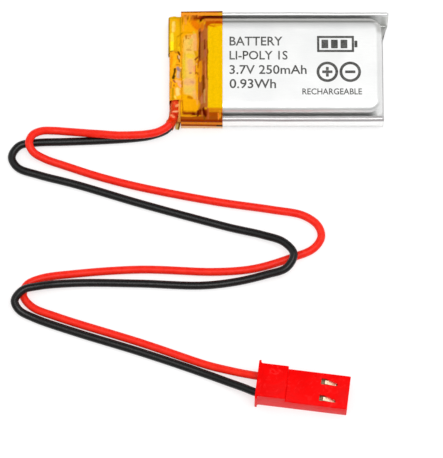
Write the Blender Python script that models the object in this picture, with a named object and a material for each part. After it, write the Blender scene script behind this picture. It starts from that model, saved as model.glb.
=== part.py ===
"""Single-cell lithium polymer pack: pouch cell, protection board under tape, two leads and a two-pole plug.

X runs along the cell and the leads leave it at -X, Y runs across it, Z is up through its thickness.
The origin is the middle of the pack's underside. Lengths in this file are in millimetres, and MM turns
them into metres where an object is made.
"""

import math

import bmesh
import bpy
from mathutils import Matrix, Vector

MM = 0.001
CLEARANCE = 0.02

# Pouch cell
CELL_TOP = 6.0
LAMINATE = 0.12
COVER_MID_Z = 0.14
SEAL_GAP = 0.20
FLANGE_MID_Z = COVER_MID_Z + LAMINATE + SEAL_GAP
TERRACE_END_X = -14.05
SEAL_END_X = 15.72
SEAL_HALF_Y = 7.86
CUP_FOOT = (-11.45, 15.50, 7.66, 2.0)
CUP_RIM = (-11.10, 15.25, 7.36, 1.9)
SHOULDER_RADIUS = 0.87
REST_X = (-8.20, 13.80)
REST_HALF_Y = 6.20
TOP_CROWN = 0.02
TERRACE_RISE = 0.015
FOLD_AXIS_Y = 8.23
FOLD_AXIS_Z = 4.53
FOLD_END_Z = 1.90
CUP_FOLD_RADIUS = 0.21
COVER_FOLD_RADIUS = 0.07
CUP_BEND_RADIUS = 0.16
COVER_BEND_RADIUS = 0.30
SEAL_OVERRUN_LEFT = 0.45
EAR_FAR = 0.70
EAR_NEAR = 0.12
CORNER_STEPS = 6

# Tape
TAPE = 0.06
TAPE_RIGHT_X = -8.35
TAPE_LEFT_X = -14.55
TAPE_TOP = CELL_TOP + CLEARANCE + TAPE
BOARD_TOP_TAPE_Z = 3.40

# Electrode roll
ROLL_Z = 3.02
ROLL_HALF_FLAT = 4.15
ROLL_CORE_RADIUS = 0.30
ROLL_PITCH = 0.50
ROLL_HALF_TURNS = 8
ROLL_ARC_STEPS = 8
ELECTRODE_X = (-10.35, 14.10)
SEPARATOR_X = (-10.60, 14.40)
ROLL_LAYERS = {
    "cathode_winding": ("cathode", 0.00, 0.14),
    "separator_inner": ("separator", 0.17, 0.22),
    "anode_winding": ("anode", 0.25, 0.39),
    "separator_outer": ("separator", 0.42, 0.47),
}

# Tabs and board
TAB_Y = {"positive": 3.2, "negative": -3.2}
TAB_WIDTH = 2.0
TAB_THICKNESS = 0.10
TAB_SEAL_Z = 0.30
TAB_FOLD_X = -14.12
TAB_FOLD_RADIUS = 0.45
TAB_UPPER_Z = TAB_SEAL_Z + 2 * TAB_FOLD_RADIUS
BOARD_X = (-14.75, -11.95)
BOARD_Y = (-4.40, 7.80)
BOARD_Z = (1.35, 1.95)
PAD_THICKNESS = 0.06
JOINT_Y = {"positive": -0.50, "negative": 1.60}

# Leads
LEAD_DIAMETER = 1.2
CONDUCTOR_DIAMETER = 0.48
LEAD_POINTS = 78
STRAIGHT_SPACING = 3.4
BEND_SPACING = 0.6

# Plug
PLUG_ORIGIN = (-3.36, -48.22, 0.0)
PLUG_TURN = math.radians(-7.2)
PITCH = 2.5
PLUG_LENGTH = 13.5
PLUG_HALF_WIDTH = 2.5
PLUG_REAR_LENGTH = 4.4
PLUG_REAR_HEIGHT = 5.2
PLUG_FRONT_HEIGHT = 3.6
LIP_LENGTH = 0.55
LIP_REACH = 0.40
CAVITY_HALF_WIDTH = 0.95
CAVITY_Z = (1.15, 2.95)
REAR_CAVITY_Z = (1.10, 3.60)
WINDOW_X = (9.30, 11.70)
WINDOW_HALF_WIDTH = 0.45
WIRE_Z = 2.10
INSULATION_END_X = 3.30

# Colour, roughness, metallic value and alpha of each kind of surface
FINISHES = {
    "aluminium_laminate": ((0.86, 0.87, 0.88), 0.28, 0.9, 1.0),
    "amber_polyimide": ((0.95, 0.50, 0.02), 0.15, 0.0, 0.75),
    "clear_tape": ((0.98, 0.62, 0.40), 0.12, 0.0, 0.45),
    "cathode": ((0.06, 0.06, 0.07), 0.80, 0.0, 1.0),
    "anode": ((0.10, 0.09, 0.09), 0.75, 0.0, 1.0),
    "separator": ((0.92, 0.92, 0.90), 0.50, 0.0, 1.0),
    "green_tape": ((0.15, 0.50, 0.25), 0.40, 0.0, 1.0),
    "aluminium": ((0.85, 0.85, 0.86), 0.30, 1.0, 1.0),
    "nickel": ((0.70, 0.68, 0.62), 0.30, 1.0, 1.0),
    "tab_film": ((0.90, 0.90, 0.85), 0.40, 0.0, 1.0),
    "board": ((0.05, 0.25, 0.12), 0.45, 0.0, 1.0),
    "moulded_epoxy": ((0.03, 0.03, 0.03), 0.50, 0.0, 1.0),
    "ceramic_chip": ((0.55, 0.42, 0.28), 0.50, 0.0, 1.0),
    "resistor_chip": ((0.06, 0.06, 0.07), 0.40, 0.0, 1.0),
    "gold": ((0.85, 0.65, 0.25), 0.30, 1.0, 1.0),
    "solder": ((0.75, 0.75, 0.76), 0.35, 1.0, 1.0),
    "paper": ((0.95, 0.88, 0.70), 0.80, 0.0, 1.0),
    "red_pvc": ((0.90, 0.05, 0.02), 0.35, 0.0, 1.0),
    "black_pvc": ((0.015, 0.015, 0.015), 0.35, 0.0, 1.0),
    "tinned_strands": ((0.80, 0.78, 0.74), 0.35, 1.0, 1.0),
    "red_plastic": ((0.85, 0.00, 0.00), 0.35, 0.0, 1.0),
    "contact_alloy": ((0.85, 0.78, 0.62), 0.30, 1.0, 1.0),
}

# The leads' routes, from the solder joints to the plug. Each point is (x, y, z).
RED_ROUTE = [
    (-15.27, -1.45, 2.80), (-15.27, -4.40, 2.85), (-15.38, -6.30, 2.72), (-15.75, -7.70, 2.62),
    (-16.50, -8.67, 2.42), (-17.80, -9.39, 2.20), (-19.50, -9.75, 2.03), (-23.70, -9.90, 1.88),
    (-26.30, -9.66, 1.70), (-28.60, -9.32, 1.16), (-31.20, -8.98, 0.75), (-33.60, -8.88, 0.95),
    (-35.20, -9.08, 1.45), (-36.55, -9.80, 1.82), (-37.10, -11.05, 1.92), (-36.50, -12.40, 1.64),
    (-34.70, -13.35, 1.05), (-31.80, -14.28, 0.66), (-26.80, -15.95, 0.62), (-20.40, -17.65, 0.62),
    (-9.10, -19.90, 0.62), (-0.90, -21.13, 0.62), (3.60, -22.00, 0.62), (5.75, -23.55, 0.62),
    (6.25, -25.30, 0.62), (5.10, -27.10, 0.62), (1.80, -28.55, 0.62), (-3.60, -30.20, 0.62),
    (-9.20, -30.70, 0.62), (-20.40, -30.35, 0.62), (-30.00, -31.00, 0.62), (-35.20, -31.75, 0.62),
    (-37.20, -32.75, 0.62), (-37.70, -34.30, 0.62), (-36.40, -36.05, 0.62), (-32.70, -37.60, 0.62),
    (-20.20, -41.60, 0.62), (-10.73, -44.92, 0.68), (-7.51, -45.90, 1.25), (-5.14, -46.56, 1.80),
]
BLACK_ROUTE = [
    (-15.55, 0.20, 1.60), (-15.55, -3.60, 1.58), (-15.58, -5.60, 1.45), (-15.85, -7.55, 1.33),
    (-16.65, -8.75, 1.12), (-18.90, -9.58, 0.76), (-21.50, -9.96, 0.62), (-26.30, -10.30, 0.62),
    (-31.80, -10.52, 0.62), (-36.30, -10.68, 0.62), (-38.60, -11.15, 0.62), (-39.70, -12.90, 0.62),
    (-38.80, -14.55, 0.62), (-35.70, -15.70, 0.62), (-30.10, -17.20, 0.62), (-20.40, -20.20, 0.62),
    (-7.60, -23.80, 0.62), (-2.30, -25.18, 1.05), (0.70, -26.42, 1.62), (2.15, -28.32, 1.92),
    (1.10, -30.37, 1.72), (-2.00, -31.30, 1.10), (-6.40, -32.25, 0.68), (-11.50, -32.80, 0.62),
    (-20.40, -32.50, 0.62), (-28.80, -32.42, 0.70), (-33.10, -32.75, 1.12), (-35.60, -33.22, 1.66),
    (-37.70, -33.85, 1.90), (-38.90, -35.30, 1.45), (-38.30, -36.60, 0.95), (-35.90, -37.85, 0.64),
    (-29.80, -40.00, 0.62), (-20.20, -43.02, 0.62), (-10.67, -46.36, 0.68), (-7.51, -47.68, 1.22),
    (-5.33, -48.62, 1.76),
]
BOARD_END_CONDUCTORS = {
    "red_conductor_board_end": [
        (-15.27, -1.42, 2.80), (-15.27, -1.20, 2.78), (-15.05, -0.96, 2.62), (-14.86, -0.93, 2.42),
    ],
    "black_conductor_board_end": [
        (-15.55, 0.26, 1.60), (-15.55, 0.60, 1.66), (-15.40, 1.05, 2.05), (-15.06, 1.52, 2.36),
    ],
}


def clear_scene():
    for obj in list(bpy.data.objects):
        bpy.data.objects.remove(obj, do_unlink=True)


def material(name, finish):
    colour, roughness, metallic, alpha = FINISHES[finish]
    made = bpy.data.materials.new(name)
    made.use_nodes = True
    shader = made.node_tree.nodes["Principled BSDF"]
    shader.inputs["Base Color"].default_value = (*colour, 1.0)
    shader.inputs["Roughness"].default_value = roughness
    shader.inputs["Metallic"].default_value = metallic
    shader.inputs["Alpha"].default_value = alpha
    return made


def add_object(name, bm, finish, parent=None, smooth_angle=30.0):
    """Turns a mesh drawn in millimetres into an object in metres."""
    bmesh.ops.recalc_face_normals(bm, faces=bm.faces)
    bmesh.ops.scale(bm, vec=(MM, MM, MM), verts=bm.verts)
    mesh = bpy.data.meshes.new(name)
    bm.to_mesh(mesh)
    bm.free()
    mesh.shade_smooth()
    mesh.set_sharp_from_angle(angle=math.radians(smooth_angle))
    mesh.materials.append(material(name, finish))
    obj = bpy.data.objects.new(name, mesh)
    obj.parent = parent
    bpy.context.scene.collection.objects.link(obj)
    return obj


def helper_object(name, bm, finish, parent=None):
    """A shape that a Boolean uses and that isn't a piece itself."""
    obj = add_object(name, bm, finish, parent)
    obj.hide_render = True
    obj.display_type = "WIRE"
    return obj


def add_boolean(obj, other, operation):
    modifier = obj.modifiers.new(operation.title() + " " + other.name, "BOOLEAN")
    modifier.operation = operation
    modifier.object = other
    modifier.solver = "EXACT"


def add_bevel(obj, width, segments=2):
    modifier = obj.modifiers.new("Edge rounding", "BEVEL")
    modifier.width = width * MM
    modifier.segments = segments
    modifier.limit_method = "ANGLE"


def box_mesh(low, high):
    bm = bmesh.new()
    centre = [(a + b) / 2 for a, b in zip(low, high)]
    size = [b - a for a, b in zip(low, high)]
    place = Matrix.Translation(centre) @ Matrix.Diagonal((*size, 1.0))
    bmesh.ops.create_cube(bm, size=1.0, matrix=place)
    return bm


def arc(centre, radius, start, end, steps):
    """Points on an arc, with its angles in degrees."""
    angles = [math.radians(start + (end - start) * i / steps) for i in range(steps + 1)]
    return [(centre[0] + radius * math.cos(a), centre[1] + radius * math.sin(a)) for a in angles]


def offset_path(path, distance):
    """The open path moved sideways, to its left for a positive distance, with its corners kept sharp."""
    points = [Vector(p) for p in path]
    moved = []
    for i, point in enumerate(points):
        before = (point - points[i - 1]).normalized() if i else None
        after = (points[i + 1] - point).normalized() if i + 1 < len(points) else None
        along = ((before or after) + (after or before)).normalized()
        side = Vector((-along.y, along.x))
        stretch = 1.0 / max(0.3, along.dot(before or after))
        moved.append(point + side * distance * stretch)
    return moved


def offset_loop(loop, distance):
    """The closed outline moved sideways, to its left for a positive distance."""
    moved = offset_path([loop[-1], *loop, loop[0]], distance)
    return moved[1:-1]


def bridge(bm, first, second, closed=False):
    """Quads between two rows of vertices."""
    count = len(first)
    for i in range(count if closed else count - 1):
        j = (i + 1) % count
        bm.faces.new((first[i], first[j], second[j], second[i]))


def band_mesh(inner, outer, start, end, axis="X"):
    """A strip with the given two long sides, drawn through its thickness and as wide as start to end."""
    bm = bmesh.new()

    def row(points, place):
        if axis == "X":
            return [bm.verts.new((place, p[0], p[1])) for p in points]
        return [bm.verts.new((p[0], place, p[1])) for p in points]

    corners = [row(inner, start), row(outer, start), row(outer, end), row(inner, end)]
    for k in range(4):
        bridge(bm, corners[k], corners[(k + 1) % 4])
    for last in (0, -1):
        bm.faces.new([c[last] for c in corners])
    return bm


def ribbon_mesh(path, thickness, start, end, axis="X"):
    return band_mesh(
        offset_path(path, thickness / 2), offset_path(path, -thickness / 2), start, end, axis
    )


def loft_mesh(rings, capped=True):
    """A skin through closed rings of 3-D points, with its ends filled, or joined to each other."""
    bm = bmesh.new()
    rows = [[bm.verts.new(p) for p in ring] for ring in rings]
    for first, second in zip(rows, rows[1:]):
        bridge(bm, first, second, closed=True)
    if capped:
        bm.faces.new(rows[0])
        bm.faces.new(rows[-1])
    else:
        bridge(bm, rows[-1], rows[0], closed=True)
    return bm


def sleeve_mesh(outer_rings, inner_rings):
    """A thin tube between outer and inner rings."""
    return loft_mesh([*outer_rings, *reversed(inner_rings)], capped=False)


def turned_mesh(profile, centre, steps=12):
    """A solid of revolution about a vertical axis; the profile is (radius, z) from bottom to top."""
    rings = []
    for radius, z in profile:
        circle = arc(centre, radius, 0, 360 - 360 / steps, steps - 1)
        rings.append([(x, y, z) for x, y in circle])
    return loft_mesh(rings)


# Pouch


def rounded_rectangle(left, right, half_y, radius, z):
    """A ring with CORNER_STEPS steps in each corner, from the middle of +X anticlockwise."""
    corners = (
        (right - radius, half_y - radius, 0),
        (left + radius, half_y - radius, 90),
        (left + radius, radius - half_y, 180),
        (right - radius, radius - half_y, 270),
    )
    ring = []
    for x, y, start in corners:
        ring += arc((x, y), radius, start, start + 90, CORNER_STEPS)
    return [(x, y, z) for x, y in ring]


def square_ring(left, right, half_y, z, inner):
    """The rectangle's outline, with one point for each point of the rounded ring inside it."""
    ring = []
    per_corner = CORNER_STEPS + 1
    for i, (x, y, _) in enumerate(inner):
        corner, step = divmod(i, per_corner)
        toward_end = step < CORNER_STEPS / 2 if corner in (0, 2) else step > CORNER_STEPS / 2
        at_corner = step == CORNER_STEPS / 2
        edge_x = right if corner in (0, 3) else left
        edge_y = half_y if corner in (0, 1) else -half_y
        ring.append((edge_x if toward_end or at_corner else x, edge_y if not toward_end else y, z))
    return ring


def seal_overrun(x, y, z):
    """How far a folded side seal's end stands out past the flat seal: least at its foot, most at its top."""
    height = min(1.0, max(0.0, (z - COVER_MID_Z) / (FOLD_AXIS_Z - COVER_MID_Z)))
    eased = height * height * (3 - 2 * height)
    if x < 0:
        return -SEAL_OVERRUN_LEFT * eased
    return (EAR_FAR if y > 0 else EAR_NEAR) * eased


def folded_seal_path(start_z, bend_radius, fold_radius):
    """(y, z) of a side seal: up beside the cup, over, and down again outside."""
    up = arc((SEAL_HALF_Y, start_z + bend_radius), bend_radius, -90, 0, 5)
    over = arc((FOLD_AXIS_Y, FOLD_AXIS_Z), fold_radius, 180, 0, 6)
    return [*up[1:], *over, (FOLD_AXIS_Y + fold_radius, FOLD_END_Z)]


def add_side_seals(bm, edge_rows, path):
    """Extends each long edge of the sheet, given as vertices along X, by the folded path."""
    for row in edge_rows:
        side = 1 if row[0].co.y > 0 else -1
        previous = row
        for y, z in path:
            new_row = []
            for vert in row:
                at_end = vert in (row[0], row[-1])
                shift = seal_overrun(vert.co.x, side * y, z) if at_end else 0.0
                new_row.append(bm.verts.new((vert.co.x + shift, side * y, z)))
            bridge(bm, previous, new_row)
            previous = new_row


def long_edges(verts):
    """The vertices on each long edge of a sheet, in order along X."""
    edges = []
    for side in (1, -1):
        row = [v for v in verts if abs(v.co.y - side * SEAL_HALF_Y) < 1e-6]
        edges.append(sorted(row, key=lambda v: v.co.x))
    return edges


def add_laminate_thickness(obj):
    modifier = obj.modifiers.new("Laminate", "SOLIDIFY")
    modifier.thickness = LAMINATE * MM
    modifier.offset = 0.0
    modifier.use_even_offset = True


def build_pouch_cup():
    left, right, half_y, radius = CUP_RIM
    top_z = CELL_TOP - LAMINATE / 2 - TOP_CROWN
    rim_z = top_z - SHOULDER_RADIUS
    foot = rounded_rectangle(*CUP_FOOT, FLANGE_MID_Z)
    rings = [square_ring(TERRACE_END_X, SEAL_END_X, SEAL_HALF_Y, FLANGE_MID_Z, foot), foot]
    for angle in (0, 18, 36, 54, 72, 90):
        inset = SHOULDER_RADIUS * (1 - math.cos(math.radians(angle)))
        z = rim_z + SHOULDER_RADIUS * math.sin(math.radians(angle))
        rings.append(
            rounded_rectangle(left + inset, right - inset, half_y - inset, radius - inset, z)
        )
    bm = bmesh.new()
    rows = [[bm.verts.new(p) for p in ring] for ring in rings]
    for first, second in zip(rows, rows[1:]):
        bridge(bm, first, second, closed=True)
    bm.faces.new(rows[-1])
    path = folded_seal_path(FLANGE_MID_Z, CUP_BEND_RADIUS, CUP_FOLD_RADIUS)
    add_side_seals(bm, long_edges(rows[0]), path)
    # The top is slightly crowned, and the rectangle in its middle is flat.
    for place, normal in (
        ((REST_X[0], 0, 0), (1, 0, 0)),
        ((REST_X[1], 0, 0), (1, 0, 0)),
        ((0, REST_HALF_Y, 0), (0, 1, 0)),
        ((0, -REST_HALF_Y, 0), (0, 1, 0)),
    ):
        whole = [*bm.verts, *bm.edges, *bm.faces]
        bmesh.ops.bisect_plane(bm, geom=whole, plane_co=place, plane_no=normal, dist=1e-4)
    for vert in bm.verts:
        x, y, z = vert.co
        in_middle = REST_X[0] - 1e-4 < x < REST_X[1] + 1e-4 and abs(y) < REST_HALF_Y + 1e-4
        if in_middle and z > top_z - 1e-4:
            vert.co.z += TOP_CROWN
    add_laminate_thickness(add_object("pouch_cup", bm, "aluminium_laminate"))


def build_pouch_cover():
    bm = bmesh.new()
    rows = []
    for x, rise in ((TERRACE_END_X, TERRACE_RISE), (REST_X[0], 0.0), (SEAL_END_X, 0.0)):
        z = COVER_MID_Z + rise
        rows.append([bm.verts.new((x, side * SEAL_HALF_Y, z)) for side in (-1, 1)])
    for first, second in zip(rows, rows[1:]):
        bridge(bm, first, second)
    path = folded_seal_path(COVER_MID_Z, COVER_BEND_RADIUS, COVER_FOLD_RADIUS)
    add_side_seals(bm, long_edges(bm.verts[:]), path)
    add_laminate_thickness(add_object("pouch_cover", bm, "aluminium_laminate"))


# Electrode roll


def spiral(offset):
    """(y, z) along a flat spiral: half circles that grow by half a pitch each, joined by level runs."""
    points = []
    for half in range(ROLL_HALF_TURNS):
        side = 1 if half % 2 == 0 else -1
        for step in range(ROLL_ARC_STEPS + 1):
            part = step / ROLL_ARC_STEPS
            angle = math.radians(180 * part - 90)
            radius = ROLL_CORE_RADIUS + offset + ROLL_PITCH * (half + part) / 2
            y = side * (ROLL_HALF_FLAT + radius * math.cos(angle))
            points.append((y, ROLL_Z + side * radius * math.sin(angle)))
    return points


def build_roll():
    for name, (finish, inner, outer) in ROLL_LAYERS.items():
        ends = SEPARATOR_X if finish == "separator" else ELECTRODE_X
        add_object(name, band_mesh(spiral(inner), spiral(outer), *ends), finish)
    outermost = ROLL_LAYERS["separator_outer"][2]
    base = ROLL_Z + ROLL_CORE_RADIUS + ROLL_PITCH * ROLL_HALF_TURNS / 2 + outermost + CLEARANCE
    low = (-1.0, -3.0, base)
    high = (7.0, 3.0, base + 0.04)
    add_object("roll_end_tape", box_mesh(low, high), "green_tape")


# Tabs and board


def build_tab(pole, finish):
    middle = TAB_Y[pole]
    inside_x = (CUP_RIM[0] + SEPARATOR_X[0]) / 2
    path = [(inside_x, 2.2), (inside_x, 0.62)]
    path += arc((inside_x - 0.32, 0.62), 0.32, -20, -90, 4)
    path += arc((TAB_FOLD_X, TAB_SEAL_Z + TAB_FOLD_RADIUS), TAB_FOLD_RADIUS, 270, 90, 8)
    path.append((-12.9, TAB_UPPER_Z))
    ends = (middle - TAB_WIDTH / 2, middle + TAB_WIDTH / 2)
    bm = ribbon_mesh(path, TAB_THICKNESS, *ends, axis="Y")
    add_object(f"{pole}_tab", bm, finish)
    outer_half = (TAB_WIDTH / 2 + 0.6, 0.08)
    inner_half = (TAB_WIDTH / 2 + 0.02, TAB_THICKNESS / 2 + 0.01)
    rings = []
    for half_y, half_z in (outer_half, inner_half):
        outline = [(half_y, half_z), (-half_y, half_z), (-half_y, -half_z), (half_y, -half_z)]
        rings.append([
            [(x, middle + y, TAB_SEAL_Z + z) for y, z in outline] for x in (-13.9, -11.9)
        ])
    add_object(f"{pole}_tab_film", sleeve_mesh(rings[0], rings[1]), "tab_film")


def chip_mesh(low, high, cap, proud):
    """A chip resistor or capacitor lying along X, with end caps that stand a little proud."""
    x0, x1 = low[0], high[0]
    z0, z1 = low[2], high[2]
    top = [
        (x0, z1), (x0 + cap, z1), (x0 + cap, z1 - proud), (x1 - cap, z1 - proud), (x1 - cap, z1), (x1, z1)
    ]
    bottom = [
        (x0, z0), (x0 + cap, z0), (x0 + cap, z0 + proud), (x1 - cap, z0 + proud), (x1 - cap, z0), (x1, z0)
    ]
    return band_mesh(top, bottom, low[1], high[1], axis="Y")


def build_package(name, centre_y):
    """A six-lead moulded package with its long side along Y: the body, and three lead pairs across it."""
    x_mid = -13.05
    foot_z = BOARD_Z[1] + 0.08
    body = box_mesh((x_mid - 0.75, centre_y - 1.45, foot_z + 0.05), (x_mid + 0.75, centre_y + 1.45, 2.95))
    chip = add_object(name, body, "moulded_epoxy")
    add_bevel(chip, 0.06, 1)
    for k in (-1, 0, 1):
        y = centre_y + 0.95 * k
        lead = [
            (x_mid - 1.05, foot_z), (x_mid - 0.90, foot_z), (x_mid - 0.84, foot_z + 0.45),
            (x_mid + 0.84, foot_z + 0.45), (x_mid + 0.90, foot_z), (x_mid + 1.05, foot_z),
        ]
        bm = ribbon_mesh(lead, 0.10, y - 0.2, y + 0.2, axis="Y")
        add_boolean(chip, helper_object(f"{name}_lead_pair_{k + 2}", bm, "nickel"), "UNION")


def build_board():
    low = (BOARD_X[0], BOARD_Y[0], BOARD_Z[0])
    high = (BOARD_X[1], BOARD_Y[1], BOARD_Z[1])
    add_object("pcm_board", box_mesh(low, high), "board")
    build_package("protection_ic", 4.75)
    build_package("switch_transistor", -2.55)
    base = BOARD_Z[1] + CLEARANCE
    for name, x, y, height, cap, finish in (
        ("filter_capacitor", (-13.9, -12.3), (-0.80, 0.00), 0.60, 0.35, "ceramic_chip"),
        ("filter_resistor", (-13.9, -12.3), (0.35, 1.15), 0.45, 0.30, "resistor_chip"),
        ("sense_resistor", (-14.0, -12.2), (1.55, 2.75), 0.50, 0.40, "resistor_chip"),
    ):
        bm = chip_mesh((x[0], y[0], base), (x[1], y[1], base + height), cap, 0.03)
        add_object(name, bm, finish)
    for pole, y in TAB_Y.items():
        top = BOARD_Z[0] - CLEARANCE
        pad = box_mesh((-14.4, y - 1.1, top - PAD_THICKNESS), (-12.6, y + 1.1, top))
        add_object(f"cell_pad_{pole}", pad, "nickel")
    for pole, y in JOINT_Y.items():
        low = (BOARD_X[0], y - 0.55, base)
        high = (BOARD_X[0] + 0.62, y + 0.55, base + PAD_THICKNESS)
        add_object(f"output_pad_{pole}", box_mesh(low, high), "gold")
        foot = base + PAD_THICKNESS + CLEARANCE
        profile = [
            (0.38, foot), (0.40, foot + 0.12), (0.34, foot + 0.32), (0.20, foot + 0.46),
            (0.06, foot + 0.52),
        ]
        bm = turned_mesh(profile, (BOARD_X[0] + 0.25, y))
        add_object(f"solder_joint_{pole}", bm, "solder")
    paper = [(-14.35, 3.12), (-12.55, 3.16), (-12.2, 3.30)]
    add_object("insulation_paper", ribbon_mesh(paper, 0.15, -6.0, 6.3, axis="Y"), "paper")


# Tape


def tape_half_section(blend):
    """Outer (y, z) of half the wrap, from its underside to its top: 0 is over the cell, 1 over the board."""
    over_cell = [(7.13, 5.84), (6.87, 6.00), (6.47, TAPE_TOP), (3.0, TAPE_TOP)]
    over_board = [(7.95, 4.90), (7.30, 3.90), (6.50, 3.47), (3.0, BOARD_TOP_TAPE_Z)]
    side = [
        (7.86, 0.0), (8.09, 0.05), (8.25, 0.21), (8.32, 0.44),
        (8.57, 1.78), (8.59, 1.95), (8.59, 4.78), (8.50, 4.90),
    ]
    top = [
        (a[0] + (b[0] - a[0]) * blend, a[1] + (b[1] - a[1]) * blend)
        for a, b in zip(over_cell, over_board)
    ]
    return side + top


def build_main_tape():
    drop = TAPE_TOP - BOARD_TOP_TAPE_Z
    top_line = [
        (TAPE_RIGHT_X, TAPE_TOP), (-10.21, TAPE_TOP), (-10.48, 6.07), (-10.78, 5.96), (-11.08, 5.66),
        (-11.26, 5.32), (-11.62, 4.25), (-11.95, 3.70), (-12.4, 3.52), (TAPE_LEFT_X, BOARD_TOP_TAPE_Z),
    ]
    outer_rings = []
    inner_rings = []
    for x, z in top_line:
        half = tape_half_section((TAPE_TOP - z) / drop)
        loop = half + [(-y, z) for y, z in reversed(half)]
        outer_rings.append([(x, y, z) for y, z in loop])
        inner_rings.append([(x, y, z) for y, z in offset_loop(loop, TAPE)])
    add_object("main_tape", sleeve_mesh(outer_rings, inner_rings), "amber_polyimide")


def build_edge_tapes():
    far = [
        (-14.60, 3.05), (-15.90, 3.00), (-16.25, 2.85), (-16.39, 2.50),
        (-16.39, 0.90), (-16.25, 0.50), (-15.90, 0.32), (-14.75, 0.25),
    ]
    near = [
        (-14.60, 3.55), (-15.65, 3.55), (-16.02, 3.32), (-16.22, 2.90),
        (-16.22, 0.90), (-16.08, 0.50), (-15.70, 0.32), (-14.75, 0.27),
    ]
    for name, path, start, end in (
        ("board_edge_tape", far, 2.75, 8.35),
        ("wire_joint_tape", near, -4.45, 2.70),
    ):
        add_object(name, ribbon_mesh(path, TAPE, start, end, axis="Y"), "amber_polyimide")


def build_lead_tape(red_line, black_line):
    """A sleeve round both leads: rings of a stadium shape, square to the leads."""
    outer_rings = []
    inner_rings = []
    for y in (-4.60, -5.60, -6.60, -7.50):
        red, along = point_at_y(red_line, y)
        black, _ = point_at_y(black_line, y)
        across = (red - black).normalized()
        middle = (red + black) / 2
        side = along.cross(across).normalized()
        half = (red - black).length / 2
        for rings, radius in ((outer_rings, 0.71), (inner_rings, 0.65)):
            outline = arc((half, 0), radius, -90, 90, 8) + arc((-half, 0), radius, 90, 270, 8)
            rings.append([middle + across * u + side * v for u, v in outline])
    add_object("lead_tape", sleeve_mesh(outer_rings, inner_rings), "clear_tape")


# Leads


def smooth_line(route, steps=24):
    """Points along a centripetal Catmull-Rom curve through the route."""
    points = [Vector(p) for p in route]
    points = [2 * points[0] - points[1], *points, 2 * points[-1] - points[-2]]
    line = []
    for p0, p1, p2, p3 in zip(points, points[1:], points[2:], points[3:]):
        t1 = (p1 - p0).length ** 0.5
        t2 = t1 + (p2 - p1).length ** 0.5
        t3 = t2 + (p3 - p2).length ** 0.5
        for step in range(steps):
            t = t1 + (t2 - t1) * step / steps
            a1 = p0.lerp(p1, t / t1)
            a2 = p1.lerp(p2, (t - t1) / (t2 - t1))
            a3 = p2.lerp(p3, (t - t2) / (t3 - t2))
            b1 = a1.lerp(a2, t / t2)
            b2 = a2.lerp(a3, (t - t1) / (t3 - t1))
            line.append(b1.lerp(b2, (t - t1) / (t2 - t1)))
    line.append(points[-2])
    return line


def point_at_y(line, y):
    """The first place where the line passes y, and its direction there."""
    for a, b in zip(line, line[1:]):
        if (a.y - y) * (b.y - y) <= 0 and a.y != b.y:
            return a.lerp(b, (y - a.y) / (b.y - a.y)), (b - a).normalized()
    raise ValueError(f"the line doesn't pass y = {y}")


def thinned(line, count):
    """The given number of points from the line, closer together where it bends."""
    cost = [0.0]
    for i in range(1, len(line)):
        step = line[i] - line[i - 1]
        turn = step.angle(line[i + 1] - line[i], 0.0) if i + 1 < len(line) else 0.0
        cost.append(cost[-1] + step.length / STRAIGHT_SPACING + turn / BEND_SPACING)
    chosen = []
    index = 0
    for k in range(count):
        wanted = cost[-1] * k / (count - 1)
        while index + 1 < len(cost) and cost[index] < wanted:
            index += 1
        chosen.append(line[index])
    return chosen


def add_tube(name, points, diameter, finish, parent=None):
    curve = bpy.data.curves.new(name, "CURVE")
    curve.dimensions = "3D"
    curve.bevel_depth = diameter / 2 * MM
    curve.bevel_resolution = 2
    curve.use_fill_caps = True
    spline = curve.splines.new("POLY")
    spline.points.add(len(points) - 1)
    for place, point in zip(spline.points, points):
        place.co = (point[0] * MM, point[1] * MM, point[2] * MM, 1.0)
    curve.materials.append(material(name, finish))
    obj = bpy.data.objects.new(name, curve)
    obj.parent = parent
    bpy.context.scene.collection.objects.link(obj)
    return obj


def plug_place(x, y, z):
    """A point of the plug's own frame, in the pack's frame."""
    turned = Matrix.Rotation(PLUG_TURN, 3, "Z") @ Vector((x, y, z))
    return tuple(turned + Vector(PLUG_ORIGIN))


def lead_line(route, pole_y):
    """The route, carried on straight into the plug, and never lower than the surface it lies on."""
    inside = [plug_place(x, pole_y, WIRE_Z) for x in (0.2, 1.6, INSULATION_END_X)]
    line = smooth_line(route + inside)
    for point in line:
        point.z = max(point.z, LEAD_DIAMETER / 2 + CLEARANCE)
    return line


def build_leads():
    red_line = lead_line(RED_ROUTE, PITCH / 2)
    black_line = lead_line(BLACK_ROUTE, -PITCH / 2)
    add_tube("red_lead", thinned(red_line, LEAD_POINTS), LEAD_DIAMETER, "red_pvc")
    add_tube("black_lead", thinned(black_line, LEAD_POINTS), LEAD_DIAMETER, "black_pvc")
    for name, points in BOARD_END_CONDUCTORS.items():
        add_tube(name, points, CONDUCTOR_DIAMETER, "tinned_strands")
    build_lead_tape(red_line, black_line)


# Plug


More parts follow.
